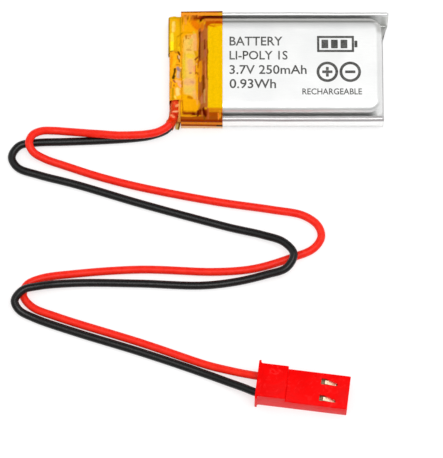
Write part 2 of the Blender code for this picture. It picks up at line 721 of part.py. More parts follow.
def build_housing(frame):
    rear_top = [(0.0, PLUG_REAR_HEIGHT), (PLUG_REAR_LENGTH, PLUG_REAR_HEIGHT)]
    front_top = [(PLUG_REAR_LENGTH, PLUG_FRONT_HEIGHT), (PLUG_LENGTH, PLUG_FRONT_HEIGHT)]
    profile = [*rear_top, *front_top, (PLUG_LENGTH, 0.0), (0.0, 0.0)]
    rings = [[(x, side * PLUG_HALF_WIDTH, z) for x, z in profile] for side in (-1, 1)]
    housing = add_object("plug_housing", loft_mesh(rings), "red_plastic", frame)
    add_bevel(housing, 0.10)
    for side in (-1, 1):
        edge = side * PLUG_HALF_WIDTH
        outline = [
            (0.0, edge - side * 0.5), (LIP_LENGTH, edge - side * 0.5),
            (LIP_LENGTH, edge - side * 0.03), (0.20, edge + side * LIP_REACH * 0.35),
            (0.10, edge + side * LIP_REACH), (0.0, edge + side * LIP_REACH),
        ]
        rings = [[(x, y, z) for x, y in outline] for z in (0.1, PLUG_REAR_HEIGHT - 0.1)]
        lip = helper_object(f"lip_{side + 2}", loft_mesh(rings), "red_plastic", frame)
        add_boolean(housing, lip, "UNION")
    for pole, y in (("positive", PITCH / 2), ("negative", -PITCH / 2)):
        low_y = y - CAVITY_HALF_WIDTH
        high_y = y + CAVITY_HALF_WIDTH
        cuts = {
            "front": ((3.9, low_y, CAVITY_Z[0]), (PLUG_LENGTH + 0.5, high_y, CAVITY_Z[1])),
            "rear": ((-0.5, low_y - 0.01, REAR_CAVITY_Z[0]), (4.1, high_y + 0.01, REAR_CAVITY_Z[1])),
            "window": (
                (WINDOW_X[0], y - WINDOW_HALF_WIDTH, CAVITY_Z[1] - 0.4),
                (WINDOW_X[1], y + WINDOW_HALF_WIDTH, PLUG_FRONT_HEIGHT + 0.5),
            ),
        }
        for kind, (low, high) in cuts.items():
            name = f"{pole}_{kind}_cut"
            cutter = helper_object(name, box_mesh(low, high), "red_plastic", frame)
            add_boolean(housing, cutter, "DIFFERENCE")


def tube_along_x(start, end, centre, outer_radius, inner_radius, steps=12):
    rings = []
    for radius in (outer_radius, inner_radius):
        circle = arc(centre, radius, 0, 360 - 360 / steps, steps - 1)
        rings.append([[(x, y, z) for y, z in circle] for x in (start, end)])
    return sleeve_mesh(rings[0], rings[1])


def build_contact(pole, y, frame):
    """A socket contact: a square box for the pin, a latch tongue, a floor strip and two crimped barrels."""
    floor = CAVITY_Z[0] + 0.10
    half = 0.80
    wall = 0.18
    top = floor + 2 * half
    outer = [(y + half, top), (y - half, top), (y - half, floor), (y + half, floor)]
    inner = [
        (y + half - wall, top - wall), (y - half + wall, top - wall),
        (y - half + wall, floor + wall), (y + half - wall, floor + wall),
    ]
    rings = [[[(x, a, b) for a, b in ring] for x in (7.4, 13.0)] for ring in (outer, inner)]
    box = sleeve_mesh(rings[0], rings[1])
    contact = add_object(f"contact_{pole}", box, "contact_alloy", frame)
    tongue = [(11.75, top - wall / 2), (11.35, top - 0.02), (9.85, top + 0.42)]
    pieces = {
        "tongue": ribbon_mesh(tongue, 0.14, y - 0.28, y + 0.28, axis="Y"),
        "floor": box_mesh((1.75, y - 0.42, floor + 0.005), (7.9, y + 0.42, floor + 0.165)),
        "wire_barrel": tube_along_x(4.4, 5.8, (y, floor + 0.65), 0.56, 0.29),
        "insulation_barrel": tube_along_x(1.6, 3.0, (y, WIRE_Z), 0.80, 0.66),
    }
    for kind, bm in pieces.items():
        piece = helper_object(f"{pole}_{kind}", bm, "contact_alloy", frame)
        add_boolean(contact, piece, "UNION")


def build_plug():
    frame = bpy.data.objects.new("plug_place", None)
    frame.location = [c * MM for c in PLUG_ORIGIN]
    frame.rotation_euler = (0.0, 0.0, PLUG_TURN)
    bpy.context.scene.collection.objects.link(frame)
    build_housing(frame)
    for pole, colour, y in (("positive", "red", PITCH / 2), ("negative", "black", -PITCH / 2)):
        build_contact(pole, y, frame)
        ends = [
            (INSULATION_END_X + 0.03, y, WIRE_Z), (3.7, y, WIRE_Z), (4.15, y, 1.92), (5.6, y, 1.90)
        ]
        name = f"{colour}_conductor_plug_end"
        add_tube(name, ends, CONDUCTOR_DIAMETER, "tinned_strands", frame)


def main():
    clear_scene()
    build_pouch_cup()
    build_pouch_cover()
    build_roll()
    build_tab("positive", "aluminium")
    build_tab("negative", "nickel")
    build_board()
    build_main_tape()
    build_edge_tapes()
    build_leads()
    build_plug()


main()
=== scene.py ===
"""Looks of the lithium polymer pack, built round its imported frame.

Lengths are in millimetres and MM turns them into metres. X runs along the cell, the leads leave it at -X,
Y runs across it and Z is up, as in the frame.
"""

import math

import bmesh
import bpy
from mathutils import Matrix, Vector, noise


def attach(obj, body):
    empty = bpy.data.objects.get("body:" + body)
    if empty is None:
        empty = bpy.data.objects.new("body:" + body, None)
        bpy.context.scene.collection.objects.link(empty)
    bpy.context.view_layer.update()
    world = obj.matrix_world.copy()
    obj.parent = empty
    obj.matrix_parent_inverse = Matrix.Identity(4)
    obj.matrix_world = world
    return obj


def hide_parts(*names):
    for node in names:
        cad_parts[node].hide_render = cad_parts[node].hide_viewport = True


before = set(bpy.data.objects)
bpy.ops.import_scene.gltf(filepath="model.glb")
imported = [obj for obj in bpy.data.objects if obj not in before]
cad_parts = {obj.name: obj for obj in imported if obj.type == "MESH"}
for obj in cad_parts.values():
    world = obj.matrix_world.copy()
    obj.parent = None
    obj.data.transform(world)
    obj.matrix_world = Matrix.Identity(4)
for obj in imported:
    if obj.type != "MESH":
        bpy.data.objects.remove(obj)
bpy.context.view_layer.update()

MM = 0.001

# Camera
VIEW_TARGET = (-8.5, -23.9, 0.0)
VIEW_ELEVATION = 73.0
VIEW_DISTANCE = 600.0
VIEW_LENS = 318.4

# Light. The lamp is in metres. The limits of the dim ring and the dark flag are parts of the direction from
# the object: TOP and FOOT say how high, and SIDE and BEYOND how far past the object, seen from the camera.
FLOOR_GLOW = 0.62
TENT_LEVEL = 1.06
LAMP_POWER = 2.4
LAMP_SIZE = (0.5, 0.35)
LAMP_PLACE = (0.1, -0.12, 0.8)
LAMP_AIM = (-0.01, -0.02, 0.0)
RING_TOP = (0.40, 0.80)
RING_SIDE = (-0.45, -0.05)
RING_LEVEL = 0.38
FLAG_BEYOND = (0.42, 0.58)
FLAG_FOOT = (0.40, 0.55)
FLAG_LEVEL = 0.16

# Pouch cell
CELL_TOP = 6.0
LAMINATE = 0.12
COVER_MID_Z = 0.14
FLANGE_MID_Z = 0.46
TERRACE_END_X = -14.05
SEAL_END_X = 15.72
SEAL_HALF_Y = 7.86
CUP_FOOT = (-11.45, 15.50, 7.66, 2.0)
CUP_RIM = (-11.10, 15.25, 7.36, 1.9)
SHOULDER_RADIUS = 0.87
FOLD_AXIS_Y = 8.23
FOLD_AXIS_Z = 4.53
FOLD_END_Z = 1.90
CUP_FOLD_RADIUS = 0.21
COVER_FOLD_RADIUS = 0.07
CUP_BEND_RADIUS = 0.16
COVER_BEND_RADIUS = 0.30
SEAL_OVERRUN_LEFT = 0.45
EAR_START_Y = 6.3
EAR_FAR = 0.70
EAR_NEAR = -0.15
GROOVE_LEAN = 0.10
GROOVE_FLOOR_Z = 2.6
NEAR_LEAN = 0.24
NEAR_LEAN_Z = (3.0, 4.3)
FAR_SLACK = 0.062
FAR_SLACK_START = 5.3
NEAR_SLACK = 0.045
NEAR_SLACK_START = 5.9
SLACK_Z = (3.0, 5.0)
RIPPLE_Z = (1.0, 4.5)
TOP_INSETS = (1.15, 1.35, 1.55, 1.75, 1.95, 2.2, 2.5, 3.0)

# How finely the pouch is divided
CORNER_STEPS = 14
SIDE_STEPS = (52, 24)
WALL_STEPS = 8
SEAL_COLUMNS = 90
COVER_COLUMNS = 30
COVER_ROWS = 32

# Tape
TAPE = 0.06
FILM_IOR = 1.10
AMBER_TINT = (1.0, 0.885, 0.10)
CLEAR_TINT = (1.0, 0.86, 0.74)
TAPE_RIGHT_X = -8.35
TAPE_LEFT_X = -14.55
TAPE_TOP = 6.08
BOARD_TOP_TAPE_Z = 3.40
WRAP_X = (-14.9, -8.0)
LOOSE_X = (-10.4, -11.6)
WRAP_SIDE_Y = 8.45
WRAP_FLARE = 0.015
WRAP_COLUMNS = 52
WRAP_STEP = 0.125
FOLD_CENTRE = (-14.9, 1.7)
FOLD_STEP = 0.13
FOLD_TOP_Z = 2.6
SLEEVE_Y = (-4.35, -8.40)
SLEEVE_STEPS = 30
SLEEVE_RADIUS = 0.70
SLEEVE_TWIST = 5.28
TAIL_STEPS = 6

# Leads
LEAD_DIAMETER = 1.2
LEAD_REST_Z = 0.62

# Plug
PLUG_ORIGIN = (-3.36, -48.22, 0.0)
PLUG_TURN = math.radians(-7.2)
PITCH = 2.5
PLUG_LENGTH = 13.5
PLUG_HALF_WIDTH = 2.5
PLUG_REAR_LENGTH = 4.4
PLUG_REAR_HEIGHT = 5.2
PLUG_FRONT_HEIGHT = 3.6
LIP_LENGTH = 0.55
LIP_REACH = 0.40
CAVITY_HALF_WIDTH = 0.95
CAVITY_Z = (1.15, 2.95)
REAR_CAVITY_Z = (1.10, 3.60)
WINDOW_X = (9.30, 11.70)
WINDOW_HALF_WIDTH = 0.45
WINDOW_TIP = 0.34
WINDOW_SHOULDER = 0.60
WIRE_Z = 2.10
INSULATION_END_X = 3.30

# The leads' routes, from the solder joints to the plug
RED_ROUTE = [
    (-15.27, -1.45, 2.80), (-15.27, -4.40, 2.85), (-15.38, -6.30, 2.72), (-15.75, -7.70, 2.62),
    (-16.50, -8.67, 2.42), (-17.80, -9.39, 2.20), (-19.50, -9.75, 2.03), (-23.70, -9.90, 1.88),
    (-26.30, -9.66, 1.70), (-28.60, -9.32, 1.16), (-31.20, -8.98, 0.75), (-33.60, -8.88, 0.95),
    (-35.20, -9.08, 1.45), (-36.55, -9.80, 1.82), (-37.10, -11.05, 1.92), (-36.50, -12.40, 1.64),
    (-34.70, -13.35, 1.05), (-31.80, -14.28, 0.66), (-26.80, -15.95, 0.62), (-20.40, -17.65, 0.62),
    (-9.10, -19.90, 0.62), (-0.90, -21.13, 0.62), (3.60, -22.00, 0.62), (5.75, -23.55, 0.62),
    (6.25, -25.30, 0.62), (5.10, -27.10, 0.62), (1.80, -28.55, 0.62), (-3.60, -30.20, 0.62),
    (-9.20, -30.70, 0.62), (-20.40, -30.35, 0.62), (-30.00, -31.00, 0.62), (-35.20, -31.75, 0.62),
    (-37.20, -32.75, 0.62), (-37.70, -34.30, 0.62), (-36.40, -36.05, 0.62), (-32.70, -37.60, 0.62),
    (-20.20, -41.60, 0.62), (-10.73, -44.92, 0.68), (-7.51, -45.90, 1.25), (-5.14, -46.56, 1.80),
]
BLACK_ROUTE = [
    (-15.55, 0.20, 1.60), (-15.55, -3.60, 1.58), (-15.58, -5.60, 1.45), (-15.85, -7.55, 1.33),
    (-16.65, -8.75, 1.12), (-18.90, -9.58, 0.76), (-21.50, -9.96, 0.62), (-26.30, -10.30, 0.62),
    (-31.80, -10.52, 0.62), (-36.30, -10.68, 0.62), (-38.60, -11.15, 0.62), (-39.70, -12.90, 0.62),
    (-38.80, -14.55, 0.62), (-35.70, -15.70, 0.62), (-30.10, -17.20, 0.62), (-20.40, -20.20, 0.62),
    (-7.60, -23.80, 0.62), (-2.30, -25.18, 1.05), (0.70, -26.42, 1.62), (2.15, -28.32, 1.92),
    (1.10, -30.37, 1.72), (-2.00, -31.30, 1.10), (-6.40, -32.25, 0.68), (-11.50, -32.80, 0.62),
    (-20.40, -32.50, 0.62), (-28.80, -32.42, 0.70), (-33.10, -32.75, 1.12), (-35.60, -33.22, 1.66),
    (-37.70, -33.85, 1.90), (-38.90, -35.30, 1.45), (-38.30, -36.60, 0.95), (-35.90, -37.85, 0.64),
    (-29.80, -40.00, 0.62), (-20.20, -43.02, 0.62), (-10.67, -46.36, 0.68), (-7.51, -47.68, 1.22),
    (-5.33, -48.62, 1.76),
]


# Node materials


def set_inputs(tree, made, inputs):
    """Gives a node its inputs, which are numbers, colours or other nodes' output sockets."""
    for key, value in inputs.items():
        if isinstance(value, bpy.types.NodeSocket):
            tree.links.new(value, made.inputs[key])
        else:
            made.inputs[key].default_value = value


def node(tree, kind, inputs=None, **settings):
    made = tree.nodes.new(kind)
    for key, value in settings.items():
        setattr(made, key, value)
    set_inputs(tree, made, inputs or {})
    return made


def new_material(name):
    """A material, its tree and its surface shader."""
    made = bpy.data.materials.new(name)
    made.use_nodes = True
    return made, made.node_tree, made.node_tree.nodes["Principled BSDF"]


def rgba(colour):
    return (*colour, 1.0)


def tone(red, green, blue):
    """A colour given in the 0 to 255 steps of a screen, as a linear one."""
    steps = [c / 255 for c in (red, green, blue)]
    return tuple(c / 12.92 if c <= 0.04045 else ((c + 0.055) / 1.055) ** 2.4 for c in steps)


def math_of(tree, operation, *values, clamp=False):
    made = node(tree, "ShaderNodeMath", operation=operation, use_clamp=clamp)
    for i, value in enumerate(values):
        if isinstance(value, bpy.types.NodeSocket):
            tree.links.new(value, made.inputs[i])
        else:
            made.inputs[i].default_value = value
    return made.outputs[0]


def place_in_mm(tree):
    """The object's own coordinates, in millimetres."""
    where = node(tree, "ShaderNodeTexCoord").outputs["Object"]
    scaled = node(tree, "ShaderNodeVectorMath", {0: where}, operation="SCALE")
    scaled.inputs["Scale"].default_value = 1.0 / MM
    return scaled.outputs[0]


def separate(tree, vector):
    return node(tree, "ShaderNodeSeparateXYZ", {0: vector}).outputs


def noise_of(tree, place, scale, detail=3.0, roughness=0.5, distortion=0.0):
    made = node(
        tree, "ShaderNodeTexNoise",
        {"Vector": place, "Scale": scale, "Detail": detail, "Roughness": roughness, "Distortion": distortion},
    )
    return made.outputs["Fac"]


def remap(tree, value, low, high, to_low=0.0, to_high=1.0, smooth=True):
    made = node(
        tree, "ShaderNodeMapRange",
        {"Value": value, "From Min": low, "From Max": high, "To Min": to_low, "To Max": to_high},
        interpolation_type="SMOOTHSTEP" if smooth else "LINEAR",
    )
    return made.outputs[0]


def mixed(tree, share, first, second):
    made = node(tree, "ShaderNodeMix", data_type="RGBA")
    for index, value in ((0, share), (6, first), (7, second)):
        if isinstance(value, bpy.types.NodeSocket):
            tree.links.new(value, made.inputs[index])
        else:
            made.inputs[index].default_value = value
    return made.outputs[2]


def span(tree, value, ends, soft):
    """1 between the two ends and 0 outside them."""
    rise = remap(tree, value, ends[0] - soft, ends[0] + soft)
    fall = remap(tree, value, ends[1] - soft, ends[1] + soft, 1.0, 0.0)
    return math_of(tree, "MULTIPLY", rise, fall)


def paint_patches(tree, axes, colour, patches):
    """Lays patches over a colour. Each is its x, y and z ends, its softness in X and Y, and its colour."""
    for x_ends, y_ends, z_ends, soft, patch_colour in patches:
        mask = math_of(tree, "MULTIPLY", span(tree, axes[0], x_ends, soft), span(tree, axes[1], y_ends, soft))
        mask = math_of(tree, "MULTIPLY", mask, span(tree, axes[2], z_ends, 0.1))
        colour = mixed(tree, mask, colour, rgba(tone(*patch_colour)))
    return colour


def bump(tree, height, distance):
    """Distance is in millimetres."""
    made = node(tree, "ShaderNodeBump", {"Height": height, "Distance": distance * MM, "Strength": 1.0})
    return made.outputs["Normal"]


def surface_material(name, colour, roughness, metallic):
    """A plain surface with fine variation in colour, gloss and relief."""
    made, tree, shader = new_material(name)
    place = place_in_mm(tree)
    broad = noise_of(tree, place, 0.9, 2.0)
    fine = noise_of(tree, place, 6.0, 4.0, 0.6)
    both = math_of(tree, "ADD", math_of(tree, "MULTIPLY", broad, 0.6), math_of(tree, "MULTIPLY", fine, 0.4))
    dark = rgba([c * 0.90 for c in colour])
    light = rgba([min(1.0, c * 1.06) for c in colour])
    set_inputs(tree, shader, {
        "Base Color": mixed(tree, remap(tree, both, 0.35, 0.65), dark, light),
        "Roughness": remap(tree, fine, 0.3, 0.7, roughness - 0.05, roughness + 0.07),
        "Metallic": metallic,
        "Normal": bump(tree, fine, 0.004),
    })
    return made


# Meshes


def add_piece(name, bm, finish, replaces, slot, smooth_angle=35.0, turn=None):
    """Turns a mesh drawn in millimetres into a piece. turn places one that is drawn in the plug's frame."""
    if turn:
        bmesh.ops.transform(bm, matrix=turn, verts=bm.verts)
    bmesh.ops.recalc_face_normals(bm, faces=bm.faces)
    bmesh.ops.scale(bm, vec=(MM, MM, MM), verts=bm.verts)
    mesh = bpy.data.meshes.new(name)
    bm.to_mesh(mesh)
    bm.free()
    mesh.shade_smooth()
    if smooth_angle < 180:
        mesh.set_sharp_from_angle(angle=math.radians(smooth_angle))
    mesh.materials.append(finish)
    obj = bpy.data.objects.new(name, mesh)
    bpy.context.scene.collection.objects.link(obj)
    return declare(obj, replaces, slot)


def declare(obj, replaces, slot):
    """Says what a piece rides on and which CAD nodes it replaces. Its slot argument is not used."""
    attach(obj, "root")
    if replaces:
        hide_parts(*replaces)
    return obj


def box_mesh(low, high):
    bm = bmesh.new()
    centre = [(a + b) / 2 for a, b in zip(low, high)]
    size = [b - a for a, b in zip(low, high)]
    place = Matrix.Translation(centre) @ Matrix.Diagonal((*size, 1.0))
    bmesh.ops.create_cube(bm, size=1.0, matrix=place)
    return bm


def arc(centre, radius, start, end, steps):
    """Points on an arc, with its angles in degrees."""
    angles = [math.radians(start + (end - start) * i / steps) for i in range(steps + 1)]
    return [(centre[0] + radius * math.cos(a), centre[1] + radius * math.sin(a)) for a in angles]


def rounded_corners(x_ends, y_ends, radius, steps):
    """The four arcs of a rounded rectangle, anticlockwise from the one at +X and +Y."""
    (x0, x1), (y0, y1) = x_ends, y_ends
    centres = (
        (x1 - radius, y1 - radius), (x0 + radius, y1 - radius),
        (x0 + radius, y0 + radius), (x1 - radius, y0 + radius),
    )
    return [arc(centre, radius, 90 * k, 90 * k + 90, steps) for k, centre in enumerate(centres)]


def rise(value, low, high):
    """0 as far as low, 1 from high on and smooth between them. low may be above high."""
    share = min(1.0, max(0.0, (value - low) / (high - low)))
    return share * share * (3 - 2 * share)


def bridge(bm, first, second, closed):
    count = len(first)
    for i in range(count if closed else count - 1):
        j = (i + 1) % count
        bm.faces.new((first[i], first[j], second[j], second[i]))


def add_sheet(bm, rows, closed=False):
    """Joins each row of points to the next. A closed sheet's rows are rings."""
    rows = [[bm.verts.new(point) for point in row] for row in rows]
    for first, second in zip(rows, rows[1:]):
        bridge(bm, first, second, closed)
    return rows


def loft_mesh(rings, capped=True):
    """A closed body: its rings joined, with capped ends, or with the last ring joined to the first."""
    bm = bmesh.new()
    rows = add_sheet(bm, rings, closed=True)
    if capped:
        bm.faces.new(rows[0])
        bm.faces.new(rows[-1])
    else:
        bridge(bm, rows[-1], rows[0], True)
    return bm


def add_solidify(obj, thickness, offset=0.0):
    modifier = obj.modifiers.new("Thickness", "SOLIDIFY")
    modifier.thickness = thickness * MM
    modifier.offset = offset
    modifier.use_even_offset = True


def add_boolean(obj, other, operation):
    modifier = obj.modifiers.new(operation.title() + " " + other.name, "BOOLEAN")
    modifier.operation = operation
    modifier.object = other
    modifier.solver = "EXACT"


def add_bevel(obj, width, segments):
    modifier = obj.modifiers.new("Edge rounding", "BEVEL")
    modifier.width = width * MM
    modifier.segments = segments
    modifier.limit_method = "ANGLE"


def apply_modifiers(obj):
    evaluated = obj.evaluated_get(bpy.context.evaluated_depsgraph_get())
    mesh = bpy.data.meshes.new_from_object(evaluated)
    obj.modifiers.clear()
    obj.data = mesh


# Camera, floor and light


def build_camera():
    elevation = math.radians(VIEW_ELEVATION)
    back = Vector((0.0, -math.cos(elevation), math.sin(elevation)))
    data = bpy.data.cameras.new("camera")
    data.lens = VIEW_LENS
    data.sensor_width = 36.0
    data.clip_start = 0.01
    data.clip_end = 10.0
    camera = bpy.data.objects.new("camera", data)
    camera.location = (Vector(VIEW_TARGET) + back * VIEW_DISTANCE) * MM
    camera.rotation_mode = "QUATERNION"
    camera.rotation_quaternion = (-back).to_track_quat("-Z", "Y")
    bpy.context.scene.collection.objects.link(camera)
    bpy.context.scene.camera = camera


def build_floor():
    made, tree, shader = new_material("floor")
    place = place_in_mm(tree)
    cloudy = noise_of(tree, place, 0.01)
    set_inputs(tree, shader, {
        "Base Color": mixed(tree, cloudy, (0.40, 0.40, 0.40, 1.0), (0.42, 0.42, 0.42, 1.0)),
        "Roughness": 0.9,
        "Specular IOR Level": 0.0,
        "Emission Color": (1.0, 1.0, 1.0, 1.0),
        "Emission Strength": FLOOR_GLOW,
    })
    bm = bmesh.new()
    bmesh.ops.create_grid(bm, x_segments=8, y_segments=8, size=1500.0 * MM)
    mesh = bpy.data.meshes.new("floor")
    bm.to_mesh(mesh)
    bm.free()
    mesh.materials.append(made)
    floor = bpy.data.objects.new("floor", mesh)
    floor.location.z = -0.02 * MM
    bpy.context.scene.collection.objects.link(floor)


def build_light():
    """A bright tent with a dim ring near the ground and a dark flag beyond the object, and a soft box."""
    scene = bpy.context.scene
    scene.view_settings.view_transform = "Standard"
    world = bpy.data.worlds.new("studio")
    scene.world = world
    world.use_nodes = True
    tree = world.node_tree
    where = separate(tree, node(tree, "ShaderNodeTexCoord").outputs["Generated"])
    flag = math_of(tree, "MULTIPLY", remap(tree, where[1], *FLAG_BEYOND), remap(tree, where[2], *FLAG_FOOT))
    above_ring = remap(tree, where[2], *RING_TOP)
    clear_of_ring = math_of(tree, "MAXIMUM", above_ring, remap(tree, where[1], *RING_SIDE))
    tent = mixed(tree, clear_of_ring, rgba([RING_LEVEL] * 3), (1.0, 1.0, 1.0, 1.0))
    tint = mixed(tree, flag, tent, rgba([FLAG_LEVEL] * 3))
    tree.links.new(tint, tree.nodes["Background"].inputs["Color"])
    tree.nodes["Background"].inputs["Strength"].default_value = TENT_LEVEL
    lamp = bpy.data.lights.new("overhead", "AREA")
    lamp.shape = "RECTANGLE"
    lamp.size, lamp.size_y = LAMP_SIZE
    lamp.energy = LAMP_POWER
    obj = bpy.data.objects.new("overhead", lamp)
    obj.location = LAMP_PLACE
    obj.rotation_mode = "QUATERNION"
    aim = Vector(LAMP_AIM) - Vector(LAMP_PLACE)
    obj.rotation_quaternion = aim.to_track_quat("-Z", "Y")
    scene.collection.objects.link(obj)


# Leads


def smooth_line(route, steps=24):
    """Points along a centripetal Catmull-Rom curve through the route."""
    points = [Vector(p) for p in route]
    points = [2 * points[0] - points[1], *points, 2 * points[-1] - points[-2]]
    line = []
    for p0, p1, p2, p3 in zip(points, points[1:], points[2:], points[3:]):
        t1 = (p1 - p0).length ** 0.5
        t2 = t1 + (p2 - p1).length ** 0.5
        t3 = t2 + (p3 - p2).length ** 0.5
        for step in range(steps):
            t = t1 + (t2 - t1) * step / steps
            a1 = p0.lerp(p1, t / t1)
            a2 = p1.lerp(p2, (t - t1) / (t2 - t1))
            a3 = p2.lerp(p3, (t - t2) / (t3 - t2))
            b1 = a1.lerp(a2, t / t2)
            b2 = a2.lerp(a3, (t - t1) / (t3 - t1))
            line.append(b1.lerp(b2, (t - t1) / (t2 - t1)))
    line.append(points[-2])
    return line


def plug_matrix():
    return Matrix.Translation(PLUG_ORIGIN) @ Matrix.Rotation(PLUG_TURN, 4, "Z")


def lead_line(route, pole_y):
    """The route, carried on straight into the plug, and never lower than the surface it lies on."""
    inside = [plug_matrix() @ Vector((x, pole_y, WIRE_Z)) for x in (0.2, 1.6, INSULATION_END_X)]
    line = smooth_line(route + [tuple(p) for p in inside])
    for point in line:
        point.z = max(point.z, LEAD_REST_Z)
    return line


def add_tube(name, points, diameter, finish, replaces, slot):
    curve = bpy.data.curves.new(name, "CURVE")
    curve.dimensions = "3D"
    curve.bevel_depth = diameter / 2 * MM
    curve.bevel_resolution = 4
    curve.use_fill_caps = True
    spline = curve.splines.new("POLY")
    spline.points.add(len(points) - 1)
    for place, point in zip(spline.points, points):
        place.co = (point[0] * MM, point[1] * MM, point[2] * MM, 1.0)
    spline.use_smooth = True
    curve.materials.append(finish)
    obj = bpy.data.objects.new(name, curve)
    bpy.context.scene.collection.objects.link(obj)
    return declare(obj, replaces, slot)


def lead_material(name, colour, light, roughness, gloss):
    """Soft vinyl: faint dark scuffs, fine pull marks and a slightly uneven gloss."""
    made, tree, shader = new_material(name)
    place = place_in_mm(tree)
    streaks = noise_of(tree, place, 0.9, 4.0, 0.65, 0.4)
    fine = noise_of(tree, place, 5.0, 3.0, 0.6)
    scuffs = math_of(tree, "MULTIPLY", remap(tree, noise_of(tree, place, 2.2, 5.0, 0.7), 0.62, 0.75), 0.25)
    base = mixed(tree, remap(tree, streaks, 0.3, 0.7), rgba(colour), rgba(light))
    set_inputs(tree, shader, {
        "Base Color": mixed(tree, scuffs, base, rgba([c * 0.6 for c in colour])),
        "Roughness": remap(tree, fine, 0.3, 0.7, roughness - 0.06, roughness + 0.10),
        "Specular IOR Level": gloss,
        "Normal": bump(tree, math_of(tree, "ADD", streaks, math_of(tree, "MULTIPLY", fine, 0.3)), 0.02),
    })
    return made


def build_leads(plug_parts):
    """Both leads. The plug's own pieces are listed with the red one's plug end, and nothing more is done with
    them.
    """
    finishes = {
        "red": lead_material("red_vinyl", (0.82, 0.012, 0.003), (0.88, 0.024, 0.008), 0.34, 0.18),
        "black": lead_material("black_vinyl", (0.001, 0.001, 0.001), (0.004, 0.004, 0.004), 0.26, 0.28),
    }
    for colour, route, pole_y in (("red", RED_ROUTE, PITCH / 2), ("black", BLACK_ROUTE, -PITCH / 2)):
        line = lead_line(route, pole_y)[::3]
        lead_node = f"{colour}_lead"
        lead = add_tube(f"{colour}_insulation", line, LEAD_DIAMETER, finishes[colour], [lead_node], lead_node)
        plug_pieces = [bpy.data.objects[f"{colour}_conductor_plug_end"]]
        if colour == "red":
            plug_pieces += plug_parts
        [c * MM for c in route[3]]


# Pouch


def rounded_rectangle(left, right, half_y, radius, z):
    """A ring, anticlockwise from the end of its +X side, with divided straight sides."""
    turns = rounded_corners((left, right), (-half_y, half_y), radius, CORNER_STEPS)
    ring = []
    for k, turn in enumerate(turns):
        ring += turn
        (x0, y0), (x1, y1) = turn[-1], turns[(k + 1) % 4][0]
        count = SIDE_STEPS[k % 2]
        ring += [(x0 + (x1 - x0) * i / count, y0 + (y1 - y0) * i / count) for i in range(1, count)]
    return [(x, y, z) for x, y in ring]


def seal_overrun(x, y, z):
    """How far a side seal's end stands out past the flat seal at the middle of that end."""
    if x < 0:
        return -SEAL_OVERRUN_LEFT * rise(z, COVER_MID_Z, FOLD_AXIS_Z)
    return (EAR_FAR if y > 0 else EAR_NEAR) * rise(abs(y), EAR_START_Y, SEAL_HALF_Y)


def folded_seal_path(start_z, bend_radius, fold_radius):
    """(y, z) of a side seal: up against the cup, out and over, and down again outside."""
    up = arc((SEAL_HALF_Y - GROOVE_LEAN, start_z + bend_radius), bend_radius, -90, 0, 6)
    over = arc((FOLD_AXIS_Y, FOLD_AXIS_Z), fold_radius, 180, 0, 10)
    foot_y, low = up[-1]
    inner = FOLD_AXIS_Y - fold_radius
    wall = []
    for i in range(1, 9):
        z = low + (FOLD_AXIS_Z - low) * i / 9
        wall.append((foot_y + (inner - foot_y) * rise(z, GROOVE_FLOOR_Z, FOLD_AXIS_Z), z))
    outer = FOLD_AXIS_Y + fold_radius
    fall = [(outer, FOLD_AXIS_Z + (FOLD_END_Z - FOLD_AXIS_Z) * i / 4) for i in range(1, 5)]
    return [*up[1:], *wall, *over, *fall]


def seal_ripple(x, side, z):
    """The small waves of a hand-folded seal, none at its foot."""
    height = min(1.0, max(0.0, (z - RIPPLE_Z[0]) / (RIPPLE_Z[1] - RIPPLE_Z[0])))
    wave = noise.noise(Vector((x * 0.16, side * 7.3, 0.4))) * 0.05
    wave += noise.noise(Vector((x * 0.5, side * 3.1, z * 0.3))) * 0.018
    return wave * height


def side_seal_mesh(start_z, bend_radius, fold_radius):
    """Both folded side seals as open sheets."""
    bm = bmesh.new()
    path = [(SEAL_HALF_Y - GROOVE_LEAN, start_z), *folded_seal_path(start_z, bend_radius, fold_radius)]
    for side in (1, -1):
        rows = []
        for i in range(SEAL_COLUMNS + 1):
            share = i / SEAL_COLUMNS
            row = []
            for y, z in path:
                if side < 0 and y < FOLD_AXIS_Y:
                    lean = NEAR_LEAN * rise(z, *NEAR_LEAN_Z)
                    y -= lean * min(1.0, (FOLD_AXIS_Y - y) / CUP_FOLD_RADIUS)
                left = TERRACE_END_X + seal_overrun(-1, side * y, z)
                right = SEAL_END_X + seal_overrun(1, side * SEAL_HALF_Y, z)
                x = left + (right - left) * share
                row.append((x, side * (y + seal_ripple(x, side, z)), z))
            rows.append(row)
        add_sheet(bm, rows)
    return bm


LAMINATE_DARK = (0.735, 0.740, 0.737)
LAMINATE_LIGHT = (0.780, 0.783, 0.777)
SEAL_X = (-9.0, 16.2)

# Painted light and shade on the laminate: painted shade on the far right ear, the far shoulder and its corner
# and along the tops and edges of the side seals, and a painted highlight that makes the near seal's outer
# face nearly white.
LAMINATE_PAINTED_LIGHT_AND_SHADE = [
    ((15.4, 17.0), (5.8, 9.0), (0.0, 4.3), 0.20, (208, 209, 206)),
    ((-9.0, 15.2), (6.90, 7.60), (4.4, 6.2), 0.10, (180, 180, 177)),
    ((-9.0, 15.2), (6.45, 6.90), (4.4, 6.2), 0.22, (150, 150, 147)),
    ((14.6, 15.9), (4.9, 6.9), (4.4, 6.2), 0.40, (186, 186, 183)),
    (SEAL_X, (8.35, 8.80), (3.9, 4.95), 0.05, (140, 142, 138)),
    (SEAL_X, (-8.80, -8.36), (4.15, 4.95), 0.05, (166, 163, 164)),
    (SEAL_X, (-8.40, -7.80), (4.40, 5.20), 0.06, (196, 194, 194)),
    (SEAL_X, (-9.20, -8.45), (-0.5, 4.05), 0.05, (252, 252, 251)),
]


